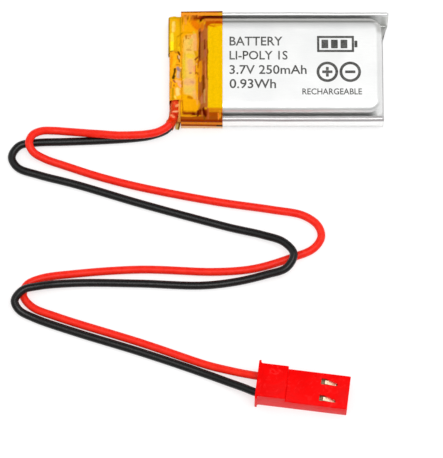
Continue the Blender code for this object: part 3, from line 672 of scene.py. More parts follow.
def laminate_material(name):
    """Aluminium laminate under its nylon skin: satin, with shallow pressing marks and fine drawn lines, and
    painted light and shade at its ear, shoulders and seals.
    """
    made, tree, shader = new_material(name)
    place = place_in_mm(tree)
    broad = noise_of(tree, place, 0.16, 2.0, 0.5, 0.3)
    stretched = node(tree, "ShaderNodeVectorMath", {0: place, 1: (0.5, 6.0, 1.0)}, operation="MULTIPLY")
    lines = noise_of(tree, stretched.outputs[0], 1.6, 3.0, 0.6)
    fine = noise_of(tree, place, 12.0, 3.0, 0.6)
    skin = mixed(tree, remap(tree, broad, 0.35, 0.65), rgba(LAMINATE_DARK), rgba(LAMINATE_LIGHT))
    shade = remap(tree, lines, 0.35, 0.75, 0.0, 0.25)
    skin = mixed(tree, shade, skin, rgba([c * 0.93 for c in LAMINATE_DARK]))
    # Painted shade and a painted highlight, laid over the skin colour at fixed places on the pouch.
    skin = paint_patches(tree, separate(tree, place), skin, LAMINATE_PAINTED_LIGHT_AND_SHADE)
    height = math_of(tree, "ADD", broad, math_of(tree, "MULTIPLY", fine, 0.015))
    set_inputs(tree, shader, {
        "Base Color": skin,
        "Metallic": 0.80,
        "Roughness": remap(tree, lines, 0.3, 0.7, 0.34, 0.42),
        "Normal": bump(tree, height, 0.02),
    })
    return made


def crown_drop(y, z):
    """The pouch is a little slack along its sides: the flat top falls away before each shoulder starts."""
    slope = FAR_SLACK * max(0.0, y - FAR_SLACK_START) ** 2 + NEAR_SLACK * max(0.0, -y - NEAR_SLACK_START) ** 2
    return slope * rise(z, *SLACK_Z)


def cup_mesh():
    """The drawn half of the pouch: its flange, its walls, its round shoulder and its flat top."""
    left, right, half_y, radius = CUP_RIM
    top_z = CELL_TOP - LAMINATE / 2
    rim_z = top_z - SHOULDER_RADIUS
    foot_z = FLANGE_MID_Z
    outline = rounded_rectangle(TERRACE_END_X, SEAL_END_X, SEAL_HALF_Y, 0.02, foot_z)
    rings = [
        [(x + seal_overrun(x, y, z) if x > SEAL_END_X - 0.1 else x, y, z) for x, y, z in outline],
        rounded_rectangle(*CUP_FOOT, foot_z),
    ]
    for i in range(1, WALL_STEPS):
        share = i / WALL_STEPS
        between = [a + (b - a) * share for a, b in zip(CUP_FOOT, CUP_RIM)]
        rings.append(rounded_rectangle(*between, foot_z + (rim_z - foot_z) * share))
    shoulder = [math.radians(angle) for angle in range(0, 91, 6)]
    insets = [(SHOULDER_RADIUS * (1 - math.cos(a)), rim_z + SHOULDER_RADIUS * math.sin(a)) for a in shoulder]
    insets += [(inset, top_z) for inset in TOP_INSETS]
    for inset, z in insets:
        corner = max(0.3, radius - inset)
        rings.append(rounded_rectangle(left + inset, right - inset, half_y - inset, corner, z))
    bm = bmesh.new()
    rows = add_sheet(bm, [[(x, y, z - crown_drop(y, z)) for x, y, z in ring] for ring in rings], closed=True)
    bm.faces.new(rows[-1])
    return bm


def cover_mesh():
    """The flat lower half of the pouch, out to its seals."""
    rows = []
    for i in range(COVER_COLUMNS + 1):
        row = []
        for k in range(COVER_ROWS + 1):
            y = -SEAL_HALF_Y + 2 * SEAL_HALF_Y * k / COVER_ROWS
            right = SEAL_END_X + seal_overrun(1, y, COVER_MID_Z)
            row.append((TERRACE_END_X + (right - TERRACE_END_X) * i / COVER_COLUMNS, y, COVER_MID_Z))
        rows.append(row)
    bm = bmesh.new()
    add_sheet(bm, rows)
    return bm


def build_pouch():
    laminate = laminate_material("aluminium_laminate")
    cup_seals = side_seal_mesh(FLANGE_MID_Z, CUP_BEND_RADIUS, CUP_FOLD_RADIUS)
    cover_seals = side_seal_mesh(COVER_MID_Z, COVER_BEND_RADIUS, COVER_FOLD_RADIUS)
    for name, bm, replaces, slot in (
        ("pouch_cup_skin", cup_mesh(), ["pouch_cup"], "pouch_cup"),
        ("cup_side_seals", cup_seals, [], "pouch_cup"),
        ("pouch_cover_skin", cover_mesh(), ["pouch_cover"], "pouch_cover"),
        ("cover_side_seals", cover_seals, [], "pouch_cover"),
    ):
        piece = add_piece(name, bm, laminate, replaces, slot, 180)
        add_solidify(piece, LAMINATE)


# Plug


def plastic_material(name, colour):
    """Injection-moulded plastic: a faint cloudy sheen, soft scuffs and fine mould texture."""
    made, tree, shader = new_material(name)
    place = place_in_mm(tree)
    cloudy = noise_of(tree, place, 0.35, 3.0, 0.6, 0.8)
    fine = noise_of(tree, place, 14.0, 3.0, 0.6)
    scuffs = remap(tree, noise_of(tree, place, 0.9, 5.0, 0.75, 1.5), 0.54, 0.68)
    base = mixed(tree, remap(tree, cloudy, 0.35, 0.65), rgba([c * 0.90 for c in colour]), rgba(colour))
    pale = [min(1.0, c * 1.08 + 0.022) for c in colour]
    set_inputs(tree, shader, {
        "Base Color": mixed(tree, math_of(tree, "MULTIPLY", scuffs, 0.6), base, rgba(pale)),
        "Roughness": remap(tree, cloudy, 0.3, 0.7, 0.30, 0.42),
        "Specular IOR Level": 0.04,
        "Normal": bump(tree, math_of(tree, "ADD", cloudy, math_of(tree, "MULTIPLY", fine, 0.04)), 0.08),
    })
    return made


def helper(name, bm):
    """A mesh in the plug's frame that is joined to the housing or cut from it, and then removed."""
    mesh = bpy.data.meshes.new(name)
    bmesh.ops.transform(bm, matrix=plug_matrix(), verts=bm.verts)
    bmesh.ops.recalc_face_normals(bm, faces=bm.faces)
    bmesh.ops.scale(bm, vec=(MM, MM, MM), verts=bm.verts)
    bm.to_mesh(mesh)
    bm.free()
    obj = bpy.data.objects.new(name, mesh)
    bpy.context.scene.collection.objects.link(obj)
    return obj


def lip_helpers():
    """The thin lip on each side of the plug's rear end."""
    for side in (-1, 1):
        edge = side * PLUG_HALF_WIDTH
        reach = side * LIP_REACH
        outline = [
            (0.0, edge - side * 0.5), (LIP_LENGTH, edge - side * 0.5), (LIP_LENGTH, edge - side * 0.03),
            (0.36, edge + reach * 0.35), (0.34, edge + reach), (0.06, edge + reach),
            (0.0, edge + reach * 0.5),
        ]
        rings = [[(x, y, z) for x, y in outline] for z in (0.1, PLUG_REAR_HEIGHT - 0.1)]
        yield helper(f"lip_{side + 2}", loft_mesh(rings)), "UNION"


def cavity_helpers():
    """Each pole's window, tapered towards the front, and its cavity, wider at the rear."""
    for pole, y in (("positive", PITCH / 2), ("negative", -PITCH / 2)):
        near_y, far_y = y - WINDOW_HALF_WIDTH, y + WINDOW_HALF_WIDTH
        outline = [
            (WINDOW_X[0], near_y), (WINDOW_X[1], near_y), (WINDOW_X[1], near_y + WINDOW_TIP),
            (WINDOW_X[0] + WINDOW_SHOULDER, far_y), (WINDOW_X[0], far_y),
        ]
        rings = [[(u, v, z) for u, v in outline] for z in (CAVITY_Z[1] - 0.4, PLUG_FRONT_HEIGHT + 0.5)]
        yield helper(f"{pole}_window_cut", loft_mesh(rings)), "DIFFERENCE"
        low_y, high_y = y - CAVITY_HALF_WIDTH, y + CAVITY_HALF_WIDTH
        front = ((3.9, low_y, CAVITY_Z[0]), (PLUG_LENGTH + 0.5, high_y, CAVITY_Z[1]))
        rear = ((-0.5, low_y - 0.01, REAR_CAVITY_Z[0]), (4.1, high_y + 0.01, REAR_CAVITY_Z[1]))
        for kind, (low, high) in (("front", front), ("rear", rear)):
            yield helper(f"{pole}_{kind}_cut", box_mesh(low, high)), "DIFFERENCE"


def build_plug():
    """The housing. Returns it and the two contacts."""
    red = plastic_material("red_plastic", (0.86, 0.0, 0.0))
    profile = [
        (0.0, PLUG_REAR_HEIGHT), (PLUG_REAR_LENGTH, PLUG_REAR_HEIGHT), (PLUG_REAR_LENGTH, PLUG_FRONT_HEIGHT),
        (PLUG_LENGTH, PLUG_FRONT_HEIGHT), (PLUG_LENGTH, 0.0), (0.0, 0.0),
    ]
    rings = [[(x, side * PLUG_HALF_WIDTH, z) for x, z in profile] for side in (-1, 1)]
    housing = add_piece(
        "plug_body", loft_mesh(rings), red, ["plug_housing"], "plug_housing", turn=plug_matrix(),
    )
    add_bevel(housing, 0.13, 4)
    helpers = [*lip_helpers(), *cavity_helpers()]
    for other, operation in helpers:
        add_boolean(housing, other, operation)
    apply_modifiers(housing)
    for other, _ in helpers:
        bpy.data.objects.remove(other, do_unlink=True)
    housing.data.shade_smooth()
    housing.data.set_sharp_from_angle(angle=math.radians(35))
    return [housing, bpy.data.objects["contact_positive"], bpy.data.objects["contact_negative"]]


# Tape


FILM_COLOUR = "film_colour"
FILM_HAZE = "film_haze"


def film_material(name, tint):
    """See-through film. Each point says its colour and how milky it is; these colours are partly the tape's
    own, partly what shows through it and partly painted highlights, reflections and shade. The tint colours
    what is under it.
    """
    made, tree, shader = new_material(name)
    place = place_in_mm(tree)
    fine = noise_of(tree, place, 2.5, 4.0, 0.65)
    grain = noise_of(tree, place, 9.0, 3.0, 0.6)
    own = node(tree, "ShaderNodeAttribute", attribute_name=FILM_COLOUR).outputs["Vector"]
    haze = node(tree, "ShaderNodeAttribute", attribute_name=FILM_HAZE).outputs["Fac"]
    cloudy = remap(tree, fine, 0.35, 0.65, 0.95, 1.03)
    shade = math_of(tree, "MULTIPLY", cloudy, remap(tree, grain, 0.3, 0.7, 0.97, 1.02))
    varied = node(tree, "ShaderNodeVectorMath", {0: own, "Scale": shade}, operation="SCALE")
    set_inputs(tree, shader, {
        "Base Color": varied.outputs[0],
        "Roughness": remap(tree, fine, 0.3, 0.7, 0.14, 0.26),
        "IOR": FILM_IOR,
        "Specular IOR Level": 0.06,
        "Normal": bump(tree, fine, 0.01),
    })
    clear = node(tree, "ShaderNodeBsdfTransparent", {"Color": rgba(tint)})
    both = node(tree, "ShaderNodeMixShader", {0: haze, 1: clear.outputs[0], 2: shader.outputs[0]})
    tree.links.new(both.outputs[0], tree.nodes["Material Output"].inputs["Surface"])
    return made


def inside(value, ends, soft):
    """1 between the two ends and 0 outside them."""
    return rise(value, ends[0] - soft, ends[0] + soft) * rise(value, ends[1] + soft, ends[1] - soft)


def away_from(x, y, points):
    """How far (x, y) is from the line through the points."""
    best = math.inf
    for (ax, ay), (bx, by) in zip(points, points[1:]):
        dx, dy = bx - ax, by - ay
        share = min(1.0, max(0.0, ((x - ax) * dx + (y - ay) * dy) / (dx * dx + dy * dy)))
        best = min(best, math.hypot(x - ax - dx * share, y - ay - dy * share))
    return best


def stroke_height(x, y, strokes):
    """How far the strokes that stand up lift the film here."""
    best = 0.0
    for _, _, half_width, height, points in strokes:
        if height:
            best = max(best, height * math.exp(-((away_from(x, y, points) / half_width / 1.3) ** 2)))
    return best


def steady_shift(place):
    """A shift along X and Y that wanders with the place. Unlike noise_vector, it's the same in every run."""
    return Vector([noise.noise(place + Vector(apart)) for apart in ((9.3, -1.5, -7.9), (-4.1, 6.7, 2.2))])


def film_look(point, ground, bands, strokes):
    """The film's colour and haze at a point: the ground, then the bands, then the strokes."""
    warp = steady_shift(Vector(point) * 0.9) * 0.10 + steady_shift(Vector(point) * 3.1) * 0.05
    x, y, z = point[0] + warp.x, point[1] + warp.y, point[2]
    colour = Vector(tone(*ground[0]))
    haze = ground[1]
    for x_ends, y_ends, z_ends, soft, own_colour, own_haze in bands:
        mask = inside(point[0] + 0.4 * warp.x, x_ends, soft) * inside(point[1] + 0.4 * warp.y, y_ends, soft)
        mask *= inside(z, z_ends, 0.06)
        if mask:
            colour = colour.lerp(Vector(tone(*own_colour)), mask)
            haze += (own_haze - haze) * mask
    for own_colour, own_haze, half_width, _, points in strokes:
        soft = 0.04 + 0.30 * half_width
        mask = rise(away_from(x, y, points), half_width + soft, half_width - soft)
        if mask:
            colour = colour.lerp(Vector(tone(*own_colour)), mask)
            haze += (own_haze - haze) * mask
    return colour, haze


def paint_film(bm, ground, bands, strokes):
    own_colour = bm.verts.layers.float_vector.new(FILM_COLOUR)
    own_haze = bm.verts.layers.float.new(FILM_HAZE)
    for vert in bm.verts:
        vert[own_colour], vert[own_haze] = film_look(vert.co, ground, bands, strokes)


def wrap_edges(blend):
    """The wrap's outer section as edges from (y, z) to (y, z): 0 is over the cell and 1 over the board."""
    over_cell = [(7.13, 5.84), (6.87, 6.00), (6.47, TAPE_TOP), (3.0, TAPE_TOP)]
    over_board = [(7.95, 4.90), (7.30, 3.90), (6.50, 3.47), (3.0, BOARD_TOP_TAPE_Z)]
    half = [
        (7.86, 0.0), (8.09, 0.05), (8.25, 0.21), (8.32, 0.44),
        (8.57, 1.78), (8.59, 1.95), (8.59, 4.78), (8.50, 4.90),
    ]
    for a, b in zip(over_cell, over_board):
        half.append((a[0] + (b[0] - a[0]) * blend, a[1] + (b[1] - a[1]) * blend))
    loop = half + [(-y, z) for y, z in reversed(half)]
    return list(zip(loop, [*loop[1:], loop[0]]))


# The top of the wrap along the middle of the cell: x and z.
TAPE_TOP_LINE = [
    (TAPE_RIGHT_X, TAPE_TOP), (-10.21, TAPE_TOP), (-10.48, 6.07), (-10.78, 5.96), (-11.08, 5.66),
    (-11.26, 5.32), (-11.62, 4.25), (-11.95, 3.70), (-12.4, 3.52), (TAPE_LEFT_X, BOARD_TOP_TAPE_Z),
]


def tape_top_z(x):
    for (x1, z1), (x0, z0) in zip(TAPE_TOP_LINE, TAPE_TOP_LINE[1:]):
        if x0 <= x <= x1:
            return z0 + (z1 - z0) * (x - x0) / (x1 - x0)
    return TAPE_TOP


# A film's ground is its colour and how milky it is. A band is its ends along X, Y and Z, how soft its edges
# are, its colour and how milky it is.
WRAP_GROUND = ((250, 176, 16), 0.80)
# Besides the tape's own amber, the bands paint light and shade: the brown slope over the shoulder and the
# dark bands along the far side, its groove and the near side are painted shade, and the pale peach bands low
# on the near side are painted light.
WRAP_BANDS = [
    ((-14.9, -11.9), (-7.0, 7.9), (2.9, 5.0), 0.08, (252, 178, 10), 0.86),
    ((-10.58, -8.0), (-6.95, 6.10), (5.6, 7.0), 0.09, (255, 208, 4), 0.66),
    ((-11.98, -10.52), (-6.9, 6.2), (3.3, 6.3), 0.06, (184, 104, 44), 0.93),
    ((-10.9, -8.0), (6.18, 6.68), (5.0, 7.0), 0.12, (186, 78, 2), 0.90),
    ((-11.2, -8.0), (6.62, 7.08), (4.5, 7.0), 0.09, (216, 122, 32), 0.90),
    ((-11.8, -8.0), (7.06, 7.72), (3.9, 7.0), 0.08, (92, 20, 0), 0.95),
    (WRAP_X, (7.80, 8.30), (4.0, 7.0), 0.07, (244, 150, 42), 0.91),
    (WRAP_X, (8.34, 9.00), (1.0, 7.0), 0.05, (150, 60, 0), 0.93),
    ((-10.7, -8.0), (-7.50, -6.98), (5.0, 7.0), 0.10, (216, 132, 12), 0.90),
    ((-10.9, -8.0), (-8.00, -7.50), (4.5, 7.0), 0.09, (168, 74, 6), 0.93),
    (WRAP_X, (-8.50, -8.00), (4.2, 7.0), 0.06, (166, 78, 12), 0.92),
    (WRAP_X, (-9.00, -8.42), (4.25, 5.2), 0.05, (146, 46, 0), 0.94),
    (WRAP_X, (-9.00, -8.42), (3.20, 4.2), 0.05, (242, 138, 20), 0.93),
    (WRAP_X, (-9.00, -8.30), (2.30, 3.20), 0.05, (164, 70, 0), 0.94),
    ((-9.30, -8.0), (-9.00, -8.30), (2.30, 3.00), 0.05, (60, 36, 0), 0.95),
    (WRAP_X, (-9.00, -7.80), (0.95, 2.3), 0.05, (255, 206, 152), 0.92),
    (WRAP_X, (-9.00, -7.60), (-0.2, 0.9), 0.05, (244, 196, 152), 0.85),
]

# A stroke is its colour, how milky it is, its half width, how high it stands and the points it runs through.
# Many strokes paint light and shade: pale streaks are painted highlights and reflections along creases, and
# dark ones painted shade beside them. Others show the paper under the tape.
WRAP_STROKES = [
    ((255, 212, 14), 0.64, 0.12, 0.0, ((-10.35, 5.0), (-10.35, -6.0))),
    ((252, 205, 2), 0.66, 0.15, 0.0, ((-9.80, 4.5), (-9.75, -6.0))),
    ((250, 202, 2), 0.67, 0.14, 0.0, ((-8.65, 5.0), (-8.62, -6.0))),
    ((255, 180, 10), 0.86, 0.50, 0.0, ((-13.6, 6.9), (-13.0, 6.2))),
    ((245, 136, 8), 0.88, 0.45, 0.0, ((-12.6, 7.1), (-12.1, 6.5))),
    ((234, 126, 6), 0.88, 0.07, 0.05, ((-13.5, 7.6), (-12.9, 7.0), (-12.05, 6.1))),
    ((190, 82, 24), 0.92, 0.08, 0.0, ((-13.1, 7.72), (-11.7, 7.74))),
    ((138, 40, 2), 0.94, 0.13, 0.0, ((-12.6, 7.56), (-11.5, 7.54))),
    ((132, 52, 2), 0.94, 0.05, 0.0, ((-13.5, 7.88), (-12.2, 7.90))),
    ((132, 52, 2), 0.94, 0.12, 0.0, ((-14.0, 7.82), (-13.55, 7.74))),
    ((200, 122, 6), 0.90, 0.08, 0.06, ((-14.3, 7.6), (-14.3, 7.0))),
    ((250, 166, 62), 0.88, 0.16, 0.0, ((-13.95, 7.7), (-13.8, 7.2))),
    ((250, 176, 50), 0.86, 0.08, 0.0, ((-14.2, 6.9), (-14.15, 6.0))),
    ((236, 166, 2), 0.88, 0.10, 0.05, ((-14.0, 5.75), (-12.9, 5.7))),
    ((255, 210, 98), 0.82, 0.84, 0.0, ((-13.3, 4.5), (-13.3, -3.6))),
    ((255, 190, 108), 0.82, 0.27, 0.0, ((-12.5, 5.3), (-12.42, 3.0))),
    ((255, 208, 116), 0.80, 0.20, 0.0, ((-12.8, 5.0), (-12.7, 4.6))),
    ((238, 208, 46), 0.84, 0.15, 0.0, ((-12.65, 5.75), (-12.5, 5.55))),
    ((240, 206, 92), 0.80, 0.22, 0.0, ((-13.0, 4.5), (-13.2, 4.0))),
    ((222, 140, 14), 0.90, 0.09, 0.05, ((-13.6, 5.15), (-13.1, 5.15))),
    ((196, 120, 10), 0.90, 0.13, 0.07, ((-13.85, 5.15), (-13.75, 4.75))),
    ((212, 126, 10), 0.90, 0.08, 0.0, ((-13.45, 4.8), (-13.35, 4.7))),
    ((255, 156, 64), 0.88, 0.10, 0.0, ((-13.2, 5.0), (-13.1, 4.85))),
    ((202, 142, 2), 0.90, 0.10, 0.06, ((-14.6, 5.4), (-14.3, 5.6))),
    ((200, 134, 20), 0.90, 0.06, 0.05, ((-14.58, 4.6), (-14.5, 4.05))),
    ((204, 138, 20), 0.90, 0.06, 0.05, ((-14.15, 4.55), (-14.2, 4.0))),
    ((214, 150, 30), 0.90, 0.06, 0.04, ((-14.35, 3.9), (-14.3, 3.35))),
    ((224, 158, 50), 0.85, 0.05, 0.05, ((-12.95, 3.95), (-13.1, 3.25))),
    ((226, 166, 70), 0.82, 0.12, 0.0, ((-13.6, 2.95), (-13.1, 2.9))),
    ((253, 215, 58), 0.82, 0.36, 0.0, ((-13.5, 2.1), (-12.9, 1.9))),
    ((228, 164, 12), 0.86, 0.18, 0.0, ((-12.45, 2.7), (-12.2, 1.9))),
    ((228, 186, 28), 0.84, 0.06, 0.04, ((-13.95, 2.6), (-14.0, 0.9))),
    ((244, 208, 50), 0.82, 0.22, 0.0, ((-14.15, 1.3), (-14.1, -1.6))),
    ((246, 192, 122), 0.86, 0.42, 0.0, ((-13.2, 1.1), (-13.1, -0.2))),
    ((255, 176, 112), 0.84, 0.16, 0.0, ((-12.6, 0.3), (-12.55, -0.4))),
    ((206, 146, 102), 0.86, 0.14, 0.0, ((-13.25, -0.7), (-13.1, -0.7))),
    ((255, 208, 116), 0.84, 0.08, 0.05, ((-12.82, 0.75), (-12.8, 0.65))),
    ((255, 208, 116), 0.84, 0.08, 0.05, ((-12.82, 0.05), (-12.8, -0.05))),
    ((250, 205, 70), 0.82, 0.15, 0.0, ((-13.9, -0.2), (-13.9, -1.5))),
    ((246, 190, 118), 0.86, 0.56, 0.0, ((-13.6, -2.1), (-12.9, -2.1))),
    ((224, 164, 116), 0.86, 0.18, 0.0, ((-12.95, -2.1), (-12.7, -2.2))),
    ((252, 214, 100), 0.84, 0.06, 0.12, ((-14.3, -1.75), (-13.6, -1.35), (-12.8, -0.95))),
    ((246, 208, 94), 0.82, 0.42, 0.0, ((-13.7, -3.4), (-12.8, -3.4))),
    ((255, 198, 108), 0.82, 0.26, 0.0, ((-12.55, -3.6), (-12.4, -4.5))),
    ((232, 172, 90), 0.84, 0.10, 0.0, ((-12.25, -4.3), (-12.2, -4.8))),
    ((253, 182, 6), 0.86, 0.36, 0.0, ((-14.5, -4.4), (-13.3, -4.5))),
    ((255, 182, 10), 0.84, 0.75, 0.0, ((-13.9, -5.7), (-12.4, -5.8))),
    ((212, 132, 2), 0.90, 0.20, 0.04, ((-13.45, -4.5), (-13.0, -4.6))),
    ((255, 180, 70), 0.86, 0.14, 0.0, ((-12.2, -4.0), (-12.0, -5.6))),
    ((196, 130, 40), 0.90, 0.09, 0.0, ((-14.35, -1.9), (-14.35, -2.9))),
    ((200, 116, 2), 0.90, 0.09, 0.05, ((-14.3, -5.1), (-14.28, -7.0))),
    ((240, 156, 30), 0.88, 0.12, 0.0, ((-12.1, 5.7), (-12.05, 2.8))),
    ((154, 76, 18), 0.93, 0.12, 0.06, ((-12.4, 1.35), (-11.9, 1.9))),
    ((146, 64, 10), 0.94, 0.10, 0.08, ((-11.85, 1.5), (-11.75, 1.25))),
    ((186, 106, 32), 0.90, 0.06, 0.05, ((-12.35, 1.2), (-12.35, -0.9))),
    ((184, 98, 4), 0.92, 0.14, 0.0, ((-12.0, 1.1), (-11.95, 0.2))),
    ((255, 192, 112), 0.88, 0.09, 0.10, ((-12.25, 0.7), (-12.2, 0.6))),
    ((250, 164, 24), 0.90, 0.14, 0.10, ((-11.95, -0.2), (-11.85, -0.5))),
    ((168, 92, 2), 0.92, 0.10, 0.0, ((-12.2, -0.7), (-12.0, -0.95))),
    ((240, 150, 20), 0.90, 0.10, 0.08, ((-12.05, -1.15), (-11.95, -1.4))),
    ((168, 84, 2), 0.92, 0.12, 0.08, ((-11.85, -1.6), (-11.8, -2.3))),
    ((100, 34, 2), 0.95, 0.11, 0.03, ((-11.80, 5.5), (-11.78, 1.6))),
    ((188, 106, 70), 0.94, 0.14, 0.0, ((-11.50, 5.0), (-11.40, 3.9))),
    ((178, 112, 52), 0.94, 0.12, 0.03, ((-11.42, 3.5), (-11.30, 1.2))),
    ((126, 50, 14), 0.94, 0.13, 0.0, ((-11.00, 3.7), (-10.98, 2.3))),
    ((170, 92, 62), 0.94, 0.10, 0.03, ((-10.95, 2.2), (-10.93, 1.2))),
    ((242, 156, 16), 0.92, 0.24, 0.0, ((-11.66, 0.7), (-11.62, -2.2))),
    ((172, 82, 10), 0.94, 0.12, 0.0, ((-11.10, 0.4), (-11.12, -2.0))),
    ((218, 128, 62), 0.94, 0.07, 0.04, ((-10.87, 0.0), (-10.86, -2.2))),
    ((146, 66, 2), 0.94, 0.09, 0.0, ((-10.60, 3.5), (-10.60, -2.5))),
    ((126, 58, 0), 0.94, 0.17, 0.0, ((-11.20, -1.8), (-11.20, -4.3))),
    ((190, 100, 10), 0.94, 0.10, 0.0, ((-11.75, -3.5), (-11.60, -5.5))),
    ((206, 128, 84), 0.94, 0.15, 0.0, ((-11.50, -4.8), (-11.40, -5.9))),
    ((196, 142, 78), 0.94, 0.14, 0.04, ((-11.00, -4.1), (-11.00, -6.0))),
    ((202, 126, 52), 0.94, 0.10, 0.0, ((-10.82, -2.5), (-10.80, -5.0))),
    ((236, 136, 22), 0.92, 0.24, 0.0, ((-11.40, 6.5), (-11.30, 5.7))),
    ((230, 122, 52), 0.92, 0.14, 0.0, ((-11.45, 5.6), (-11.30, 5.45))),
    ((186, 82, 4), 0.93, 0.14, 0.06, ((-10.75, 6.1), (-10.72, 5.55))),
    ((216, 124, 8), 0.90, 0.16, 0.0, ((-10.35, 5.95), (-9.6, 5.82))),
    ((186, 80, 4), 0.92, 0.20, 0.03, ((-10.7, 5.9), (-10.3, 6.35), (-9.7, 6.48))),
    ((236, 156, 8), 0.86, 0.14, 0.0, ((-9.3, 5.88), (-8.5, 6.02))),
    ((226, 146, 4), 0.88, 0.09, 0.03, ((-9.50, 6.15), (-9.35, 5.7))),
    ((176, 62, 0), 0.93, 0.13, 0.0, ((-9.30, 6.45), (-8.60, 6.45))),
    ((62, 6, 0), 0.96, 0.10, 0.0, ((-10.7, 7.47), (-9.2, 7.50))),
    ((228, 178, 34), 0.88, 0.18, 0.0, ((-8.80, 8.06), (-8.30, 8.06))),
    ((112, 78, 4), 0.93, 0.10, 0.0, ((-9.00, 8.52), (-8.30, 8.52))),
    ((156, 68, 8), 0.93, 0.34, 0.0, ((-14.0, -7.05), (-12.8, -7.1))),
    ((132, 44, 4), 0.94, 0.44, 0.0, ((-12.7, -7.35), (-10.9, -7.55))),
    ((232, 146, 20), 0.92, 0.18, 0.0, ((-14.0, -7.85), (-13.0, -7.9))),
    ((104, 18, 0), 0.95, 0.17, 0.0, ((-12.75, -7.25), (-12.4, -7.45))),
    ((100, 16, 0), 0.95, 0.17, 0.0, ((-12.0, -6.75), (-12.0, -7.9))),
    ((206, 116, 56), 0.93, 0.05, 0.05, ((-12.22, -7.0), (-12.2, -7.6))),
    ((118, 26, 0), 0.95, 0.15, 0.03, ((-11.75, -6.75), (-11.5, -7.3))),
    ((200, 106, 46), 0.93, 0.08, 0.06, ((-11.45, -7.2), (-11.3, -8.0))),
    ((88, 10, 0), 0.96, 0.20, 0.0, ((-11.2, -6.95), (-10.95, -7.9))),
    ((130, 72, 10), 0.94, 0.12, 0.0, ((-11.15, -8.0), (-11.0, -8.4))),
    ((186, 88, 38), 0.93, 0.12, 0.04, ((-10.5, -7.05), (-10.5, -8.3))),
    ((170, 74, 4), 0.93, 0.18, 0.0, ((-10.2, -7.8), (-9.2, -7.85))),
    ((255, 140, 34), 0.92, 0.11, 0.05, ((-9.0, -7.7), (-8.95, -8.3))),
    ((240, 170, 30), 0.90, 0.06, 0.0, ((-8.75, -7.3), (-8.75, -8.2))),
]


def wrap_relief(x, y):
    """How far the wrap stands off the shape it was laid over: it is loose over the board end."""
    loose = rise(x, *LOOSE_X)
    waves = noise.noise(Vector((x * 1.1, y * 0.7, 2.0))) + 0.5 * noise.noise(Vector((x * 2.6, y * 1.9, 5.0)))
    return loose * (0.06 + 0.06 * waves) + stroke_height(x, y, WRAP_STROKES) + 0.010 * waves


def build_main_tape():
    drop = TAPE_TOP - BOARD_TOP_TAPE_Z
    counts = [max(1, round(math.dist(a, b) / WRAP_STEP)) for a, b in wrap_edges(0.0)]
    rows = []
    for i in range(WRAP_COLUMNS + 1):
        x = TAPE_RIGHT_X + (TAPE_LEFT_X - TAPE_RIGHT_X) * i / WRAP_COLUMNS
        row = []
        for (a, b), count in zip(wrap_edges((TAPE_TOP - tape_top_z(x)) / drop), counts):
            for k in range(count):
                y = a[0] + (b[0] - a[0]) * k / count
                z = a[1] + (b[1] - a[1]) * k / count
                if z > BOARD_TOP_TAPE_Z - 0.2 and abs(y) < WRAP_SIDE_Y:
                    z += wrap_relief(x, y)
                flare = WRAP_FLARE * (x - TAPE_LEFT_X) if abs(y) > WRAP_SIDE_Y else 0.0
                ragged = 0.05 * noise.noise(Vector((y * 0.9, z * 0.7, 3.0))) if i == WRAP_COLUMNS else 0.0
                row.append((x + ragged, y + math.copysign(flare, y), z))
        rows.append(row)
    bm = bmesh.new()
    add_sheet(bm, rows, closed=True)
    paint_film(bm, WRAP_GROUND, WRAP_BANDS, WRAP_STROKES)
    amber = film_material("amber_film", AMBER_TINT)
    tape = add_piece("amber_wrap", bm, amber, ["main_tape"], "main_tape", 60)
    add_solidify(tape, TAPE * 0.6, -1.0)


# The folds over the board's edge, from the top to the underside: x and z.
FAR_FOLD_PATH = [
    (-14.45, 3.12), (-15.20, 3.12), (-15.90, 3.06), (-16.25, 2.86), (-16.39, 2.45), (-16.39, 0.90),
    (-16.25, 0.48), (-15.90, 0.32), (-14.75, 0.25),
]
NEAR_FOLD_PATH = [
    (-14.45, 3.60), (-15.10, 3.62), (-15.65, 3.56), (-16.02, 3.32), (-16.20, 2.90), (-16.22, 0.90),
    (-16.08, 0.50), (-15.70, 0.32), (-14.75, 0.27),
]
